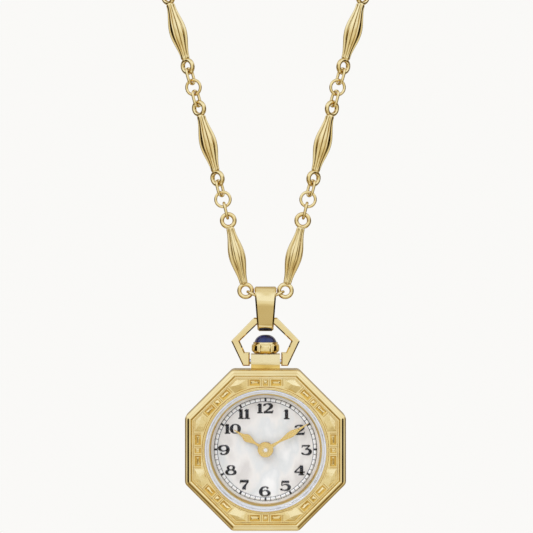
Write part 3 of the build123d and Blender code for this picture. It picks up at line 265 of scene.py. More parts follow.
rubber = plain("rubber", (0.03, 0.03, 0.03), (0.02, 0.02, 0.02), 0.7)
ivory = plain("ivory", (0.62, 0.60, 0.52), (0.52, 0.50, 0.42), 0.5)
board = plain("board", (0.03, 0.20, 0.08), (0.02, 0.12, 0.05), 0.35)
ink = plain("ink", (0.012, 0.011, 0.010), (0.006, 0.006, 0.006), 0.45)
track_white = plain("track_white", (0.93, 0.93, 0.92), (0.88, 0.88, 0.88), 0.35)
stone = plain(
    "stone", (0.005, 0.013, 0.11), (0.001, 0.003, 0.03), 0.05, lump=0.0015,
    IOR=1.6, Specular_IOR_Level=0.4,
)
pearl = new_material("pearl", Roughness=0.4, Specular_IOR_Level=0.3)
pearl_tree = pearl.node_tree
pearl_colour = tint(
    pearl_tree,
    noise(pearl_tree, 0.004, detail=6, stretch=(1.0, 1.0, 0.6)),
    (
        (0.34, (0.66, 0.63, 0.60)),
        (0.45, (0.78, 0.755, 0.72)),
        (0.54, (0.69, 0.70, 0.69)),
        (0.66, (0.85, 0.84, 0.82)),
    ),
)
pearl_tree.links.new(pearl_colour, pearl_tree.nodes["Principled BSDF"].inputs["Base Color"])
glass = new_material(
    "glass", Base_Color=(1, 1, 1, 1), IOR=1.45, Transmission_Weight=1.0, Alpha=0.18
)
glass_tree = glass.node_tree
glass_tree.links.new(
    spread(glass_tree, noise(glass_tree, 0.003), 0.0, 0.02),
    glass_tree.nodes["Principled BSDF"].inputs["Roughness"],
)


def from_axis(tree):
    """Distance from the case's axis, in metres, and the turn about it, in radians."""
    apart = parted(tree, coordinates(tree))
    up = computed(tree, "ADD", apart.outputs["Z"], -CASE_Z)
    flat = tree.nodes.new("ShaderNodeCombineXYZ")
    tree.links.new(apart.outputs["X"], flat.inputs["X"])
    tree.links.new(up, flat.inputs["Y"])
    length = tree.nodes.new("ShaderNodeVectorMath")
    length.operation = "LENGTH"
    tree.links.new(flat.outputs["Vector"], length.inputs[0])
    turn = computed(tree, "ARCTAN2", up, apart.outputs["X"])
    return length.outputs["Value"], turn


# The ring under the crystal: a painted reflection of the bezel's gold beside the dial, darker
# toward the dial, and satin silver with radial marks
FLANGE_INNER, FLANGE_OUTER = 0.0085, 0.0095
FLANGE_MARKS = 45
flange_look = new_material("flange_look", Metallic=1.0)
flange_tree = flange_look.node_tree
flange_shader = flange_tree.nodes["Principled BSDF"]
distance, turn = from_axis(flange_tree)
silver_and_painted_gold_reflection = tint(
    flange_tree,
    ranged(flange_tree, distance, (FLANGE_INNER, FLANGE_OUTER)),
    (
        # Painted reflection of the bezel's gold, darker toward the dial
        (0.0, (0.58, 0.36, 0.06)),
        (0.42, (0.70, 0.47, 0.10)),
        (0.44, (0.62, 0.60, 0.53)),
        (0.60, (0.90, 0.87, 0.77)),
    ),
)
marks = flange_tree.nodes.new("ShaderNodeTexNoise")
marks.noise_dimensions = "1D"
marks.inputs["Scale"].default_value = FLANGE_MARKS
marks.inputs["Detail"].default_value = 4
flange_tree.links.new(turn, marks.inputs["W"])
streaks = tint(
    flange_tree, marks.outputs["Fac"], ((0.35, (0.95, 0.95, 0.95)), (0.65, (1.0, 1.0, 1.0)))
)
flange_tree.links.new(mixed(flange_tree, silver_and_painted_gold_reflection, streaks), flange_shader.inputs["Base Color"])
flange_tree.links.new(
    spread(flange_tree, marks.outputs["Fac"], 0.32, 0.38), flange_shader.inputs["Roughness"]
)

node_materials = {
    "bezel": gold_bezel, "case_middle": gold_case, "case_back": gold_case, "neck": gold_neck,
    "bow": gold_case, "bail": gold_bail, "crown": gold_case, "cabochon": stone,
    "hour_hand": gold_hand, "minute_hand": gold_hand, "hand_pin": silver, "dial": pearl,
    "flange_ring": flange_look, "crystal": glass, "crystal_gasket": silver,
    "clasp_body": gold_chain, "clasp_gate": gold_chain, "clasp_end_ring": gold_chain,
    "battery": steel, "main_plate": nickel, "train_bridge": nickel, "movement_holder": ivory,
    "circuit_board": board, "quartz_can": silver, "drive_coil": copper, "case_back_gasket": rubber,
    "crown_seal": rubber, "reduction_wheel": ivory, "centre_wheel": gear_brass,
    "cannon_pinion": gear_brass, "minute_wheel": gear_brass, "hour_wheel": gear_brass,
}
for name, node in nodes.items():
    material = node_materials.get(name)
    if material is None:
        ring = name.endswith(("rings", "_ring")) or "rings_" in name
        material = gold_chain if ring or name.startswith("chain_bar") else steel
    node.data.materials.clear()
    node.data.materials.append(material)


# Pieces
record = frame["record"]
body_of = {
    node: body for body, members in record["behaviour"]["bodies"].items() for node in members
}


def grid_faces(rows, columns, close_rows):
    """Quads of a grid that is closed across, and closed along too if asked."""
    faces = []
    for row in range(rows if close_rows else rows - 1):
        for column in range(columns):
            beside = (column + 1) % columns
            after = (row + 1) % rows
            faces.append((
                row * columns + column, row * columns + beside,
                after * columns + beside, after * columns + column,
            ))
    return faces


def made(name, points, faces, material):
    """A smooth object from points in metres."""
    mesh = bpy.data.meshes.new(name)
    mesh.from_pydata([tuple(point) for point in points], [], faces)
    fixed = bmesh.new()
    fixed.from_mesh(mesh)
    bmesh.ops.recalc_face_normals(fixed, faces=fixed.faces)
    for face in fixed.faces:
        face.smooth = True
    fixed.to_mesh(mesh)
    fixed.free()
    mesh.materials.append(material)
    piece = bpy.data.objects.new(name, mesh)
    bpy.context.scene.collection.objects.link(piece)
    return piece


def stand_in(name, points, faces, material):
    """A smooth piece in the place of the node that it is named after."""
    piece = made(name + "_smooth", points, faces, material)
    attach(piece, body_of[name])
    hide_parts(name)
    return piece


def islands(name):
    """Points of each separate solid of a node."""
    loose = bmesh.new()
    loose.from_mesh(nodes[name].data)
    bmesh.ops.remove_doubles(loose, verts=loose.verts, dist=1e-7)
    loose.verts.index_update()
    left = set(loose.verts)
    groups = []
    while left:
        reached = {left.pop()}
        front = list(reached)
        while front:
            vertex = front.pop()
            for edge in vertex.link_edges:
                other = edge.other_vert(vertex)
                if other not in reached:
                    reached.add(other)
                    front.append(other)
        left -= reached
        ordered = sorted(reached, key=lambda vertex: vertex.index)
        groups.append(np.array([tuple(vertex.co) for vertex in ordered]))
    loose.free()
    return sorted(groups, key=lambda group: tuple(group.mean(axis=0)))


def own_frame(points):
    """Middle, axes from longest to shortest, and half sizes of a solid."""
    middle = (points.max(axis=0) + points.min(axis=0)) / 2
    spread_of = np.cov((points - points.mean(axis=0)).T)
    vectors = np.linalg.eigh(spread_of)[1]
    axes = vectors.T[::-1]
    if np.linalg.det(axes) < 0:
        axes[2] = -axes[2]
    along = (points - middle) @ axes.T
    middle = middle + (along.max(axis=0) + along.min(axis=0)) / 2 @ axes
    half = (along.max(axis=0) - along.min(axis=0)) / 2
    return middle, axes, half


# Share of the solid wire's thickness, so that neighbours stay clear when the chain swings
WIRE_SHARE = 0.95


def ring_points(middle, axes, half, around=56, across=20):
    """Round wire bent to an oval of those half sizes."""
    wire = half[2] * WIRE_SHARE
    straight = half[0] - half[1]
    bend = half[1] - half[2]
    points = []
    for step in range(around):
        angle = 2 * math.pi * (step + 0.5) / around
        side = math.copysign(straight, math.cos(angle))
        out = np.array((math.cos(angle), math.sin(angle), 0))
        core = np.array((side, 0, 0)) + out * bend
        for turn in range(across):
            roll = 2 * math.pi * turn / across
            place = core + out * wire * math.cos(roll) + np.array((0, 0, wire * math.sin(roll)))
            points.append(middle + place @ axes)
    return points, grid_faces(around, across, True)


def joined(parts):
    """Points and faces of several parts in one list."""
    points, faces = [], []
    for part_points, part_faces in parts:
        base = len(points)
        points += list(part_points)
        faces += [tuple(index + base for index in face) for face in part_faces]
    return points, faces


for name in sorted(nodes):
    if "ring" in name and name not in ("flange_ring", "clasp_spring"):
        rings = [ring_points(*own_frame(group)) for group in islands(name)]
        stand_in(name, *joined(rings), gold_chain)

# Bezel: two convex bands, a fine frame, an ornament channel, and a stepped ring at the crystal
FLAT = (case_high.x - case_low.x) / 2 / MM
CORNER = 1.0
SIDE_STEPS, CORNER_STEPS = 6, 5
FLOOR_INSET, FLOOR_LEVEL, FLOOR_RADIUS = 1.44, 3.2, 10.12
# Distance inside the flats and forward of the stem, in millimetres
OUTER_PROFILE = (
    (0.0, 1.62), (0.0, 2.90), (0.012, 3.12), (0.06, 3.31), (0.15, 3.45), (0.26, 3.53),
    (0.35, 3.55), (0.43, 3.59), (0.50, 3.66), (0.58, 3.74), (0.65, 3.82), (0.73, 3.87),
    (0.84, 3.89), (0.95, 3.85), (1.04, 3.77), (1.10, 3.64), (1.13, 3.48), (1.17, 3.50),
    (1.36, 3.50), (1.41, 3.44), (FLOOR_INSET, FLOOR_LEVEL),
)
# Distance from the case's axis and forward of the stem
RING_PROFILE = (
    (FLOOR_RADIUS, FLOOR_LEVEL), (10.10, 3.50), (10.06, 3.68), (9.99, 3.77), (9.92, 3.79),
    (9.85, 3.78), (9.825, 3.72), (9.81, 3.70), (9.78, 3.71), (9.72, 3.70), (9.70, 3.65),
    (9.66, 3.66), (9.62, 3.64), (9.60, 3.60), (9.60, 3.10), (9.60, 1.62),
)
# The outer profile's last points, from the fine frame to the channel's floor, look cast
CAST_POINTS = 4
SMALLEST_ROUNDING = 0.03
BEZEL_SHARP = 28
# Ornament of the channel: its base and peaks are forward of the stem, and places along a side
# are from its middle, in millimetres
STUD_GAP = 0.07
STUD_BASE = FLOOR_LEVEL - 0.02
SQUARE_HALF, SQUARE_PEAK = 0.47, 3.46
BLOCK_START, BLOCK_STOP, BLOCK_HIP, BLOCK_PEAK = 0.84, 2.56, 0.42, 3.52
# Place and half width of the dividers beside each block
DIVIDERS = ((0.66, 0.07), (2.74, 0.08))
DIVIDER_HIP, DIVIDER_PEAK = 0.05, 3.5
CORNER_START, CORNER_REACH, CORNER_PEAK = 2.92, 1.05, 3.56


def side_axes(side):
    """Directions out of a side of the octagon and along it, in the dial's plane."""
    turn = side * math.pi / 4
    out = np.array((math.sin(turn), math.cos(turn)))
    beside = np.array((math.cos(turn), -math.sin(turn)))
    return out, beside


def octagon(inset):
    """Points of the case's rounded outline, that far inside it."""
    apothem = FLAT - inset
    rounding = max(CORNER - inset, SMALLEST_ROUNDING)
    half_side = (apothem - rounding) * math.tan(math.pi / 8)
    points = []
    for side in range(8):
        out, beside = side_axes(side)
        for step in range(SIDE_STEPS + 1):
            points.append(out * apothem + beside * half_side * (2 * step / SIDE_STEPS - 1))
        middle = out * (apothem - rounding) + beside * half_side
        for step in range(1, CORNER_STEPS):
            angle = (side + step / CORNER_STEPS) * math.pi / 4
            points.append(middle + rounding * np.array((math.sin(angle), math.cos(angle))))
    return points


def on_case(flat, level):
    """Place in metres of a point in the plane of the dial, forward of the stem."""
    return np.array((flat[0] * MM, -level * MM, CASE_Z + flat[1] * MM))


def fan(outline, ridge):
    """Facets from an outline on the channel's floor up to a ridge of one or two points."""
    points = [on_case(point, STUD_BASE) for point in outline]
    points += [on_case(point[:2], point[2]) for point in ridge]
    count = len(outline)
    if len(ridge) == 1:
        faces = [(k, (k + 1) % count, count) for k in range(count)]
    else:
        faces = [(0, 1, count + 1, count), (1, 2, count + 1), (2, 3, count, count + 1)]
        faces.append((3, 0, count))
    return points, [*faces, tuple(range(count))]


def on_side(side, along, across):
    """Point of the dial's plane, along a side from its middle and out from the case's axis."""
    out, beside = side_axes(side)
    return out * across + beside * along


def cell(side, start, stop, low, high):
    """Outline of a cell of the channel on one side."""
    corners = ((start, low), (stop, low), (stop, high), (start, high))
    return [on_side(side, along, across) for along, across in corners]


def side_studs(side):
    """Studs, blocks and dividers of one side, and the facets of the corner after it."""
    near, far = FLOOR_RADIUS + STUD_GAP, FLAT - FLOOR_INSET - STUD_GAP
    middle = (near + far) / 2
    parts = [fan(
        cell(side, -SQUARE_HALF, SQUARE_HALF, near, far),
        [(*on_side(side, 0, middle), SQUARE_PEAK)],
    )]
    for sign in (-1, 1):
        start, stop, hip = sign * BLOCK_START, sign * BLOCK_STOP, sign * BLOCK_HIP
        ridge = [(*on_side(side, place, middle), BLOCK_PEAK) for place in (start + hip, stop - hip)]
        parts.append(fan(cell(side, start, stop, near, far), ridge))
        for place, reach in DIVIDERS:
            ridge = [
                (*on_side(side, sign * place, across), DIVIDER_PEAK)
                for across in (near + DIVIDER_HIP, far - DIVIDER_HIP)
            ]
            start, stop = sign * place - reach, sign * place + reach
            parts.append(fan(cell(side, start, stop, near, far), ridge))
    inner = math.sqrt(near**2 - CORNER_START**2)
    diagonal = side_axes(side)[0] + side_axes(side + 1)[0]
    diagonal /= np.linalg.norm(diagonal)
    outline = [
        on_side(side, CORNER_START, inner), on_side(side, CORNER_START, far),
        on_side(side, far * math.tan(math.pi / 8), far),
        on_side(side + 1, -CORNER_START, far), on_side(side + 1, -CORNER_START, inner),
        diagonal * near,
    ]
    parts.append(fan(outline, [(*(diagonal * (near + CORNER_REACH)), CORNER_PEAK)]))
    return parts


def bezel_parts():
    """The stepped frame and every stud in its channel."""
    rows = []
    for inset, level in OUTER_PROFILE:
        rows.append([on_case(point, level) for point in octagon(inset)])
    angles = [math.atan2(point[0], point[1]) for point in octagon(FLOOR_INSET)]
    for radius, level in RING_PROFILE:
        rows.append([
            on_case((radius * math.sin(angle), radius * math.cos(angle)), level)
            for angle in angles
        ])
    points = [point for row in rows for point in row]
    parts = [(points, grid_faces(len(rows), len(angles), True))]
    for side in range(8):
        parts += side_studs(side)
    return parts


bezel = stand_in("bezel", *joined(bezel_parts()), gold_bezel)
bezel.data.set_sharp_from_angle(angle=math.radians(BEZEL_SHARP))
bezel.data.materials.append(gold_cast)
banks = len(octagon(0)) * (len(OUTER_PROFILE) - CAST_POINTS)
for face in list(bezel.data.polygons)[banks:]:
    face.material_index = 1

# Fluted bars: a spindle with six ribs that runs into a rounded eye at each end
EYE_HOLE, EYE_RIM, EYE_HALF = 0.675 * MM, 0.675 * MM, 0.40 * MM
EYE_AROUND, EYE_ACROSS = 48, 20
# Share of the eye's rim that the spindle doesn't reach into
EYE_FREE = 0.45
NECK, WAIST = 0.70 * MM, 1.4 * MM
OGEE_POWER = 0.9
SHOULDER_LENGTH, SHOULDER_FALL = 0.55 * MM, 0.72
FLUTES = 6
FLUTE_DEPTH, FLUTE_END, FLUTE_FADE = 0.34 * MM, 0.12 * MM, 2.2
# Where a rib starts and how far it rises on a cosine from 0 to 1, and how full it is
RIB_FOOT, RIB_RISE, RIB_POWER = 0.385, 0.375, 0.8
BAR_ROWS, BAR_COLUMNS = 96, 24 * FLUTES
# The spindle's last row stays a little short of its end
END_SHARE = 0.999


def bar_radius(share):
    """Radius of the ribs at a share of the way from the waist to the end of the neck."""
    ogee = (0.5 + 0.5 * math.cos(math.pi * min(abs(share), 1))) ** OGEE_POWER
    return NECK + (WAIST - NECK) * ogee


def flute_dip(angle):
    """Share of the flute's depth at a turn about the bar, 0 on a rib."""
    rib = 0.5 + 0.5 * math.cos(FLUTES * (angle - math.pi / 2))
    dip = 1 - min(1.0, max(0.0, (rib - RIB_FOOT) / RIB_RISE)) ** RIB_POWER
    return dip * dip * (3 - 2 * dip)


def bar_frame(group):
    """Middle, axes and half length of a bar; its last axis is that of the holes in its eyes."""
    middle, axes, half = own_frame(group)
    along = (group - middle) @ axes[0]
    ends = group[np.abs(along) > half[0] - 2 * EYE_RIM]
    ends = np.where(((ends - middle) @ axes[0])[:, None] > 0, ends - 2 * half[0] * axes[0], ends)
    eye_axis = own_frame(ends)[1][2]
    normal = eye_axis - axes[0] * (eye_axis @ axes[0])
    normal /= np.linalg.norm(normal)
    return middle, np.array((axes[0], np.cross(normal, axes[0]), normal)), half[0]


def spindle_points(end):
    """Fluted spindle about the first axis, from minus that end to the end."""
    shoulder = end - SHOULDER_LENGTH
    points = []
    for row in range(BAR_ROWS):
        share = -1 + 2 * row / (BAR_ROWS - 1)
        place = end * math.sin(math.pi / 2 * share * END_SHARE)
        radius = bar_radius(place / shoulder)
        fade = max(0.0, 1 - abs(place) / shoulder)
        depth = FLUTE_END + (FLUTE_DEPTH - FLUTE_END) * min(1.0, fade * FLUTE_FADE)
        if abs(place) > shoulder:
            over = (abs(place) - shoulder) / (end - shoulder)
            radius *= math.sqrt(max(0.0, 1 - SHOULDER_FALL * over**2))
            depth *= 1 - over
        for column in range(BAR_COLUMNS):
            angle = 2 * math.pi * column / BAR_COLUMNS
            here = radius - depth * flute_dip(angle)
            points.append(np.array((place, here * math.cos(angle), here * math.sin(angle))))
    return points, grid_faces(BAR_ROWS, BAR_COLUMNS, False)


def eye_points(place):
    """Rounded eye whose middle is at a place on the first axis."""
    core = EYE_HOLE + EYE_RIM / 2
    points = []
    for step in range(EYE_AROUND):
        angle = 2 * math.pi * step / EYE_AROUND
        out = np.array((math.cos(angle), math.sin(angle), 0))
        for turn in range(EYE_ACROSS):
            roll = 2 * math.pi * turn / EYE_ACROSS
            local = out * (core + EYE_RIM / 2 * math.cos(roll))
            points.append(local + np.array((place, 0, EYE_HALF * math.sin(roll))))
    return points, grid_faces(EYE_AROUND, EYE_ACROSS, True)


def bar_points(group):
    """Spindle and eyes of one bar, set where the solid is."""
    middle, axes, half_length = bar_frame(group)
    eye_place = half_length - EYE_HOLE - EYE_RIM
    end = eye_place - EYE_HOLE - EYE_RIM * EYE_FREE
    parts = (spindle_points(end), eye_points(-eye_place), eye_points(eye_place))
    return joined([([middle + local @ axes for local in points], faces) for points, faces in parts])


for name in sorted(nodes):
    if name.startswith("chain_bar"):
        stand_in(name, *bar_points(islands(name)[0]), gold_chain)

# Fine edges on the carried-over metal, so that they catch the light
EDGE_ANGLE = 24
for name, width in (
    ("case_middle", 0.08), ("case_back", 0.06), ("neck", 0.1), ("bow", 0.06),
    ("bail", 0.06), ("crown", 0.05), ("clasp_body", 0.08), ("hour_hand", 0.03),
    ("minute_hand", 0.03), ("hand_pin", 0.03),
):
    weld = nodes[name].modifiers.new("weld", "WELD")
    weld.merge_threshold = 1e-7
    edges = nodes[name].modifiers.new("edges", "BEVEL")
    edges.width = width * MM
    edges.segments = 2
    edges.limit_method = "ANGLE"
    edges.angle_limit = math.radians(EDGE_ANGLE)
    edges.harden_normals = True

# Dial print
PRINT_LIFT = 0.012 * MM
PRINT_DEPTH = 0.008 * MM
INK_SPREAD = 1.42
NUMERAL_HEIGHT = 1.55 * MM
# Strokes of each numeral, as (x, y, width) in heights of a numeral
STROKES = {
    "1": (
        ((0.30, 0.05, 0.24), (0.30, 0.98, 0.24)),
        ((0.30, 0.97, 0.10), (0.02, 0.78, 0.05)),
        ((0.02, 0.045, 0.09), (0.60, 0.045, 0.09)),
    ),
    "2": (
        (
            (0.14, 0.72, 0.19), (0.14, 0.85, 0.15), (0.40, 0.96, 0.09), (0.70, 0.90, 0.20),
            (0.84, 0.70, 0.26), (0.64, 0.46, 0.17), (0.32, 0.25, 0.09), (0.09, 0.08, 0.07),
        ),
        ((0.06, 0.09, 0.17), (0.98, 0.09, 0.17)),
        ((0.96, 0.06, 0.09), (1.02, 0.32, 0.05)),
    ),
    "3": (
        ((0.10, 0.94, 0.12), (0.92, 0.94, 0.12)),
        ((0.12, 0.97, 0.07), (0.09, 0.72, 0.05)),
        ((0.88, 0.93, 0.08), (0.46, 0.59, 0.09)),
        (
            (0.40, 0.58, 0.08), (0.76, 0.56, 0.15), (0.94, 0.33, 0.26), (0.76, 0.09, 0.18),
            (0.42, 0.04, 0.09), (0.15, 0.12, 0.14), (0.13, 0.24, 0.19),
        ),
    ),
    "4": (
        ((0.72, 0.98, 0.10), (0.06, 0.33, 0.10)),
        ((0.03, 0.30, 0.11), (1.10, 0.30, 0.11)),
        ((0.76, 0.99, 0.24), (0.76, 0.05, 0.26)),
        ((0.45, 0.04, 0.08), (1.06, 0.04, 0.08)),
    ),
    "5": (
        ((0.20, 0.91, 0.17), (0.96, 0.91, 0.17)),
        ((0.22, 0.95, 0.09), (0.18, 0.50, 0.08)),
        (
            (0.18, 0.51, 0.07), (0.50, 0.63, 0.09), (0.84, 0.55, 0.18), (0.96, 0.33, 0.26),
            (0.80, 0.10, 0.18), (0.44, 0.04, 0.09), (0.15, 0.11, 0.13), (0.12, 0.22, 0.19),
        ),
    ),
    "6": (
        (
            (0.88, 0.79, 0.17), (0.78, 0.92, 0.12), (0.55, 0.96, 0.09), (0.24, 0.80, 0.18),
            (0.13, 0.44, 0.26), (0.26, 0.13, 0.18), (0.55, 0.04, 0.09), (0.88, 0.13, 0.17),
            (0.99, 0.32, 0.24), (0.84, 0.53, 0.15), (0.55, 0.60, 0.08), (0.26, 0.49, 0.10),
            (0.16, 0.36, 0.12),
        ),
    ),
    "7": (
        ((0.05, 0.89, 0.20), (0.92, 0.89, 0.20)),
        ((0.06, 0.95, 0.07), (0.03, 0.66, 0.05)),
        ((0.88, 0.86, 0.08), (0.60, 0.50, 0.14), (0.46, 0.24, 0.25), (0.43, 0.03, 0.30)),
    ),
}


OVAL_STEPS = 16


def oval(x, y, half_width, half_height, side, end):
    """Closed oval stroke, heavier at its sides."""
    points = []
    for step in range(OVAL_STEPS + 1):
        angle = 2 * math.pi * step / OVAL_STEPS
        width = end + (side - end) * math.cos(angle) ** 2
        points.append((x + half_width * math.cos(angle), y + half_height * math.sin(angle), width))
    return tuple(points)


STROKES["0"] = (oval(0.5, 0.5, 0.40, 0.45, 0.26, 0.08),)
STROKES["8"] = (
    oval(0.52, 0.74, 0.30, 0.21, 0.20, 0.07),
    oval(0.52, 0.27, 0.42, 0.24, 0.24, 0.08),
)
STROKES["9"] = tuple(
    tuple((1.1 - x, 1 - y, width) for x, y, width in stroke) for stroke in STROKES["6"]
)
ADVANCE = {"1": 0.62, "2": 1.06, "3": 1.05, "4": 1.12, "5": 1.05, "6": 1.12, "7": 0.98,
           "8": 1.04, "9": 1.12, "0": 1.02}
# Text and the place of its middle from the dial's middle, in millimetres
NUMERALS = (
    ("12", -0.04, 6.54), ("1", 3.36, 5.60), ("2", 5.44, 3.10), ("3", 6.48, -0.10),
    ("4", 5.42, -3.32), ("5", 3.10, -5.78), ("6", -0.10, -6.68), ("7", -3.34, -5.66),
    ("8", -5.50, -3.28), ("9", -6.60, -0.10), ("10", -5.26, 3.28), ("11", -3.40, 5.64),
)


def smooth_line(stroke, steps=8):
    """Points along a stroke, curved through its corners when it has more than two."""
    points = [np.array(point) for point in stroke]
    if len(points) == 2:
        return points
    line = []
    padded = [2 * points[0] - points[1], *points, 2 * points[-1] - points[-2]]
    if np.allclose(points[0][:2], points[-1][:2]):
        padded[0], padded[-1] = points[-2], points[1]
    for before, start, stop, after in zip(padded, padded[1:], padded[2:], padded[3:]):
        for step in range(steps):
            t = step / steps
            line.append(0.5 * (
                2 * start + (stop - before) * t
                + (2 * before - 5 * start + 4 * stop - after) * t**2
                + (3 * start - before - 3 * stop + after) * t**3
            ))
    line.append(points[-1])
    return line


def ribbon(stroke):
    """Flat band along a stroke, as points (x, y) and faces."""
    line = smooth_line(stroke)
    points = []
    for index, point in enumerate(line):
        before, after = line[max(0, index - 1)], line[min(len(line) - 1, index + 1)]
        if index in (0, len(line) - 1) and np.allclose(line[0][:2], line[-1][:2]):
            before, after = line[-2], line[1]
        along = after[:2] - before[:2]
        along = along / max(np.linalg.norm(along), 1e-9)
        across = np.array((-along[1], along[0])) * point[2] / 2 * INK_SPREAD
        points += [point[:2] + across, point[:2] - across]
    faces = [(2 * k, 2 * k + 1, 2 * k + 3, 2 * k + 2) for k in range(len(line) - 1)]
    return points, faces


def printed(name, flat_parts, material, lift=PRINT_LIFT):
    """Ink on the dial from flat parts in metres from its middle."""
    points, faces = joined(flat_parts)
    placed = [(point[0], DIAL_FACE - lift, CASE_Z + point[1]) for point in points]
    piece = made(name, placed, faces, material)
    depth = piece.modifiers.new("depth", "SOLIDIFY")
    depth.thickness = PRINT_DEPTH
    depth.offset = 0
    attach(piece, "head")


def arc_band(radius, width, start, stop, steps):
    """Flat band of a circle between two turns, in metres and degrees from the top."""
    points = []
    for step in range(steps + 1):
        angle = math.radians(start + (stop - start) * step / steps)
        for reach in (radius - width / 2, radius + width / 2):
            points.append(np.array((math.sin(angle), math.cos(angle))) * reach)
    return points, [(2 * k, 2 * k + 1, 2 * k + 3, 2 * k + 2) for k in range(steps)]


for number, x, y in NUMERALS:
    start = -sum(ADVANCE[digit] for digit in number) / 2
    flat_parts = []
    for digit in number:
        for stroke in STROKES[digit]:
            points, faces = ribbon(stroke)
            moved = [
                np.array((
                    x * MM + (start + px) * NUMERAL_HEIGHT,
                    y * MM + (py - 0.5) * NUMERAL_HEIGHT,
                ))
                for px, py in points
            ]
            flat_parts.append((moved, faces))
        start += ADVANCE[digit]
    printed("numeral_" + number, flat_parts, ink)

TRACK_INNER, TRACK_OUTER = 7.63 * MM, 8.17 * MM
TRACK_MIDDLE, TRACK_WIDTH = (TRACK_INNER + TRACK_OUTER) / 2, TRACK_OUTER - TRACK_INNER
TRACK_LINE = 0.085 * MM
TRACK_STEPS = 180
# Half widths of the marks, in degrees
HOUR_MARK, MINUTE_MARK = 1.15, 0.32
track_parts = [
    arc_band(radius, TRACK_LINE, 0, 360, TRACK_STEPS) for radius in (TRACK_INNER, TRACK_OUTER)
]
for minute in range(60):
    turn = minute * 6
    reach = MINUTE_MARK if minute % 5 else HOUR_MARK
    track_parts.append(arc_band(TRACK_MIDDLE, TRACK_WIDTH, turn - reach, turn + reach, 2))
printed("minute_track", track_parts, ink)
ground = arc_band(TRACK_MIDDLE, TRACK_WIDTH, 0, 360, TRACK_STEPS)
printed("track_ground", [ground], track_white, PRINT_LIFT / 3)

# Studio
# Dark flags and light glows: azimuth from the camera with right positive, elevation, inner and
# outer half angle, all in degrees, and gain
FLAGS = (
    (-90, 0, 12, 34, -1.00),
    (90, 0, 12, 34, -1.00),
    (180, 0, 40, 64, -0.45),
    (0, -34, 8, 26, -0.12),
    (-78, -44, 12, 32, -0.45),
    (78, -44, 12, 32, -0.45),
    (-45, 50, 8, 26, 0.35),
    (45, 50, 8, 26, 0.35),
    (-32, 8, 4, 18, -0.16),
    (32, 8, 4, 18, -0.16),
)
# A gain of this much goes from one end of the studio's colours to the other
FULL_GAIN = 1.5
# Place among the studio's colours by height, from straight down at 0 to straight up at 1
HEIGHTS = (
    (0.0, 0.68), (0.07, 0.60), (0.13, 0.46), (0.24, 0.53), (0.36, 0.56), (0.47, 0.60),
    (0.56, 0.62), (0.61, 0.75), (0.82, 0.74), (0.92, 0.58), (1.0, 0.62),
)


def toward(azimuth, elevation):
    """Unit direction from the object; azimuth 0 is the camera's side."""
    a, e = math.radians(azimuth), math.radians(elevation)
    return (math.sin(a) * math.cos(e), -math.cos(a) * math.cos(e), math.sin(e))


world = bpy.data.worlds.new("studio")
bpy.context.scene.world = world
world.use_nodes = True
tree = world.node_tree
tree.nodes.clear()
direction = tree.nodes.new("ShaderNodeTexCoord").outputs["Generated"]
height = ranged(tree, parted(tree, direction).outputs["Z"], (-1, 1))
total = tint(tree, height, [(place, (level, level, level)) for place, level in HEIGHTS])
for azimuth, elevation, inner, outer, gain in FLAGS:
    dot = tree.nodes.new("ShaderNodeVectorMath")
    dot.operation = "DOT_PRODUCT"
    dot.inputs[1].default_value = toward(azimuth, elevation)
    tree.links.new(direction, dot.inputs[0])
    edges = (math.cos(math.radians(outer)), math.cos(math.radians(inner)))
    glow = ranged(tree, dot.outputs["Value"], (*edges, 0, gain / FULL_GAIN), "SMOOTHSTEP")
    total = computed(tree, "ADD", total, glow)
studio_colour = tint(
    tree,
    total,
    (
        (0.0, (0.01, 0.006, 0.002)),
        (0.2, (0.27, 0.20, 0.09)),
        (0.4, (0.58, 0.52, 0.40)),
        (0.55, (0.86, 0.88, 0.94)),
        (0.68, (0.98, 1.08, 1.45)),
        (0.9, (1.15, 1.32, 1.95)),
    ),
)
path = tree.nodes.new("ShaderNodeLightPath")
seen_colour = mixed(tree, (*PALE, 1), studio_colour, path.outputs["Is Glossy Ray"], "MIX")
background = tree.nodes.new("ShaderNodeBackground")
tree.links.new(seen_colour, background.inputs["Color"])
output = tree.nodes.new("ShaderNodeOutputWorld")
tree.links.new(background.outputs["Background"], output.inputs["Surface"])

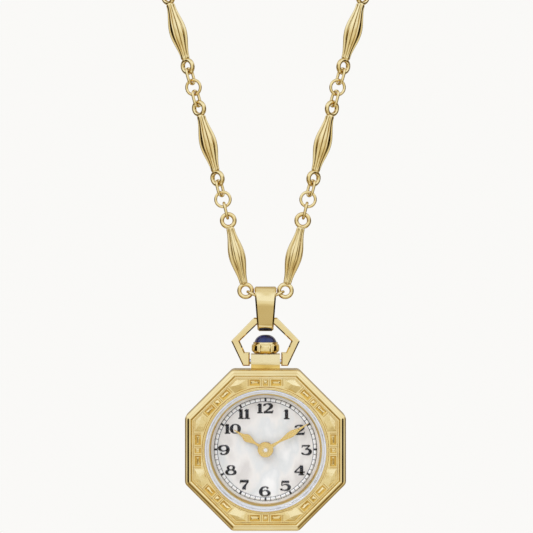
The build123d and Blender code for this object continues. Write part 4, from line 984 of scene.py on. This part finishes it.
# Floor
FLOOR_DROP = 0.05
FLOOR_REACH = 2.0
bpy.ops.mesh.primitive_circle_add(
    vertices=96, radius=FLOOR_REACH, fill_type="NGON", location=(0, 0, cad_low.z - FLOOR_DROP)
)
floor = bpy.context.object
floor.name = "floor"
floor.visible_glossy = False
floor_material = new_material("floor", Base_Color=(*PALE, 1), Roughness=0.9)
floor_tree = floor_material.node_tree
floor_glow = floor_tree.nodes.new("ShaderNodeEmission")
floor_glow.inputs["Color"].default_value = (*PALE, 1)
floor_path = floor_tree.nodes.new("ShaderNodeLightPath")
seen = computed(
    floor_tree, "MAXIMUM", floor_path.outputs["Is Camera Ray"], floor_path.outputs["Is Glossy Ray"]
)
floor_mix = floor_tree.nodes.new("ShaderNodeMixShader")
floor_tree.links.new(seen, floor_mix.inputs["Fac"])
floor_tree.links.new(
    floor_tree.nodes["Principled BSDF"].outputs["BSDF"], floor_mix.inputs[1]
)
floor_tree.links.new(floor_glow.outputs["Emission"], floor_mix.inputs[2])
floor_tree.links.new(
    floor_mix.outputs["Shader"], floor_tree.nodes["Material Output"].inputs["Surface"]
)
floor.data.materials.append(floor_material)


def lamp(name, azimuth, elevation, distance, size, power):
    """Soft square lamp that points at the case."""
    data = bpy.data.lights.new(name, "AREA")
    data.size = size
    data.energy = power
    lamp_object = bpy.data.objects.new(name, data)
    lamp_object.visible_glossy = False
    bpy.context.scene.collection.objects.link(lamp_object)
    away = Vector(toward(azimuth, elevation))
    lamp_object.location = Vector((0, 0, CASE_Z)) + away * distance
    lamp_object.rotation_euler = away.to_track_quat("Z", "Y").to_euler()


lamp("key", azimuth=-40, elevation=45, distance=0.5, size=0.25, power=1.2)

# Camera, which frames the object as the photo does
CAMERA_DISTANCE = 0.275
SEEN_WIDTH = 0.0853
SENSOR = 36
PHOTO_SIZE = 533
CASE_PIXEL = (265.5, 448.3)
pixel = SEEN_WIDTH / PHOTO_SIZE
camera_data = bpy.data.cameras.new("camera")
camera_data.sensor_width = SENSOR
camera_data.lens = SENSOR * CAMERA_DISTANCE / SEEN_WIDTH
camera_data.clip_start = 0.01
camera = bpy.data.objects.new("camera", camera_data)
bpy.context.scene.collection.objects.link(camera)
camera.location = (
    -(CASE_PIXEL[0] - PHOTO_SIZE / 2) * pixel,
    -CAMERA_DISTANCE,
    CASE_Z + (CASE_PIXEL[1] - PHOTO_SIZE / 2) * pixel,
)
camera.rotation_euler = (math.radians(90), 0, 0)
bpy.context.scene.camera = camera
bpy.context.scene.view_settings.view_transform = "Standard"
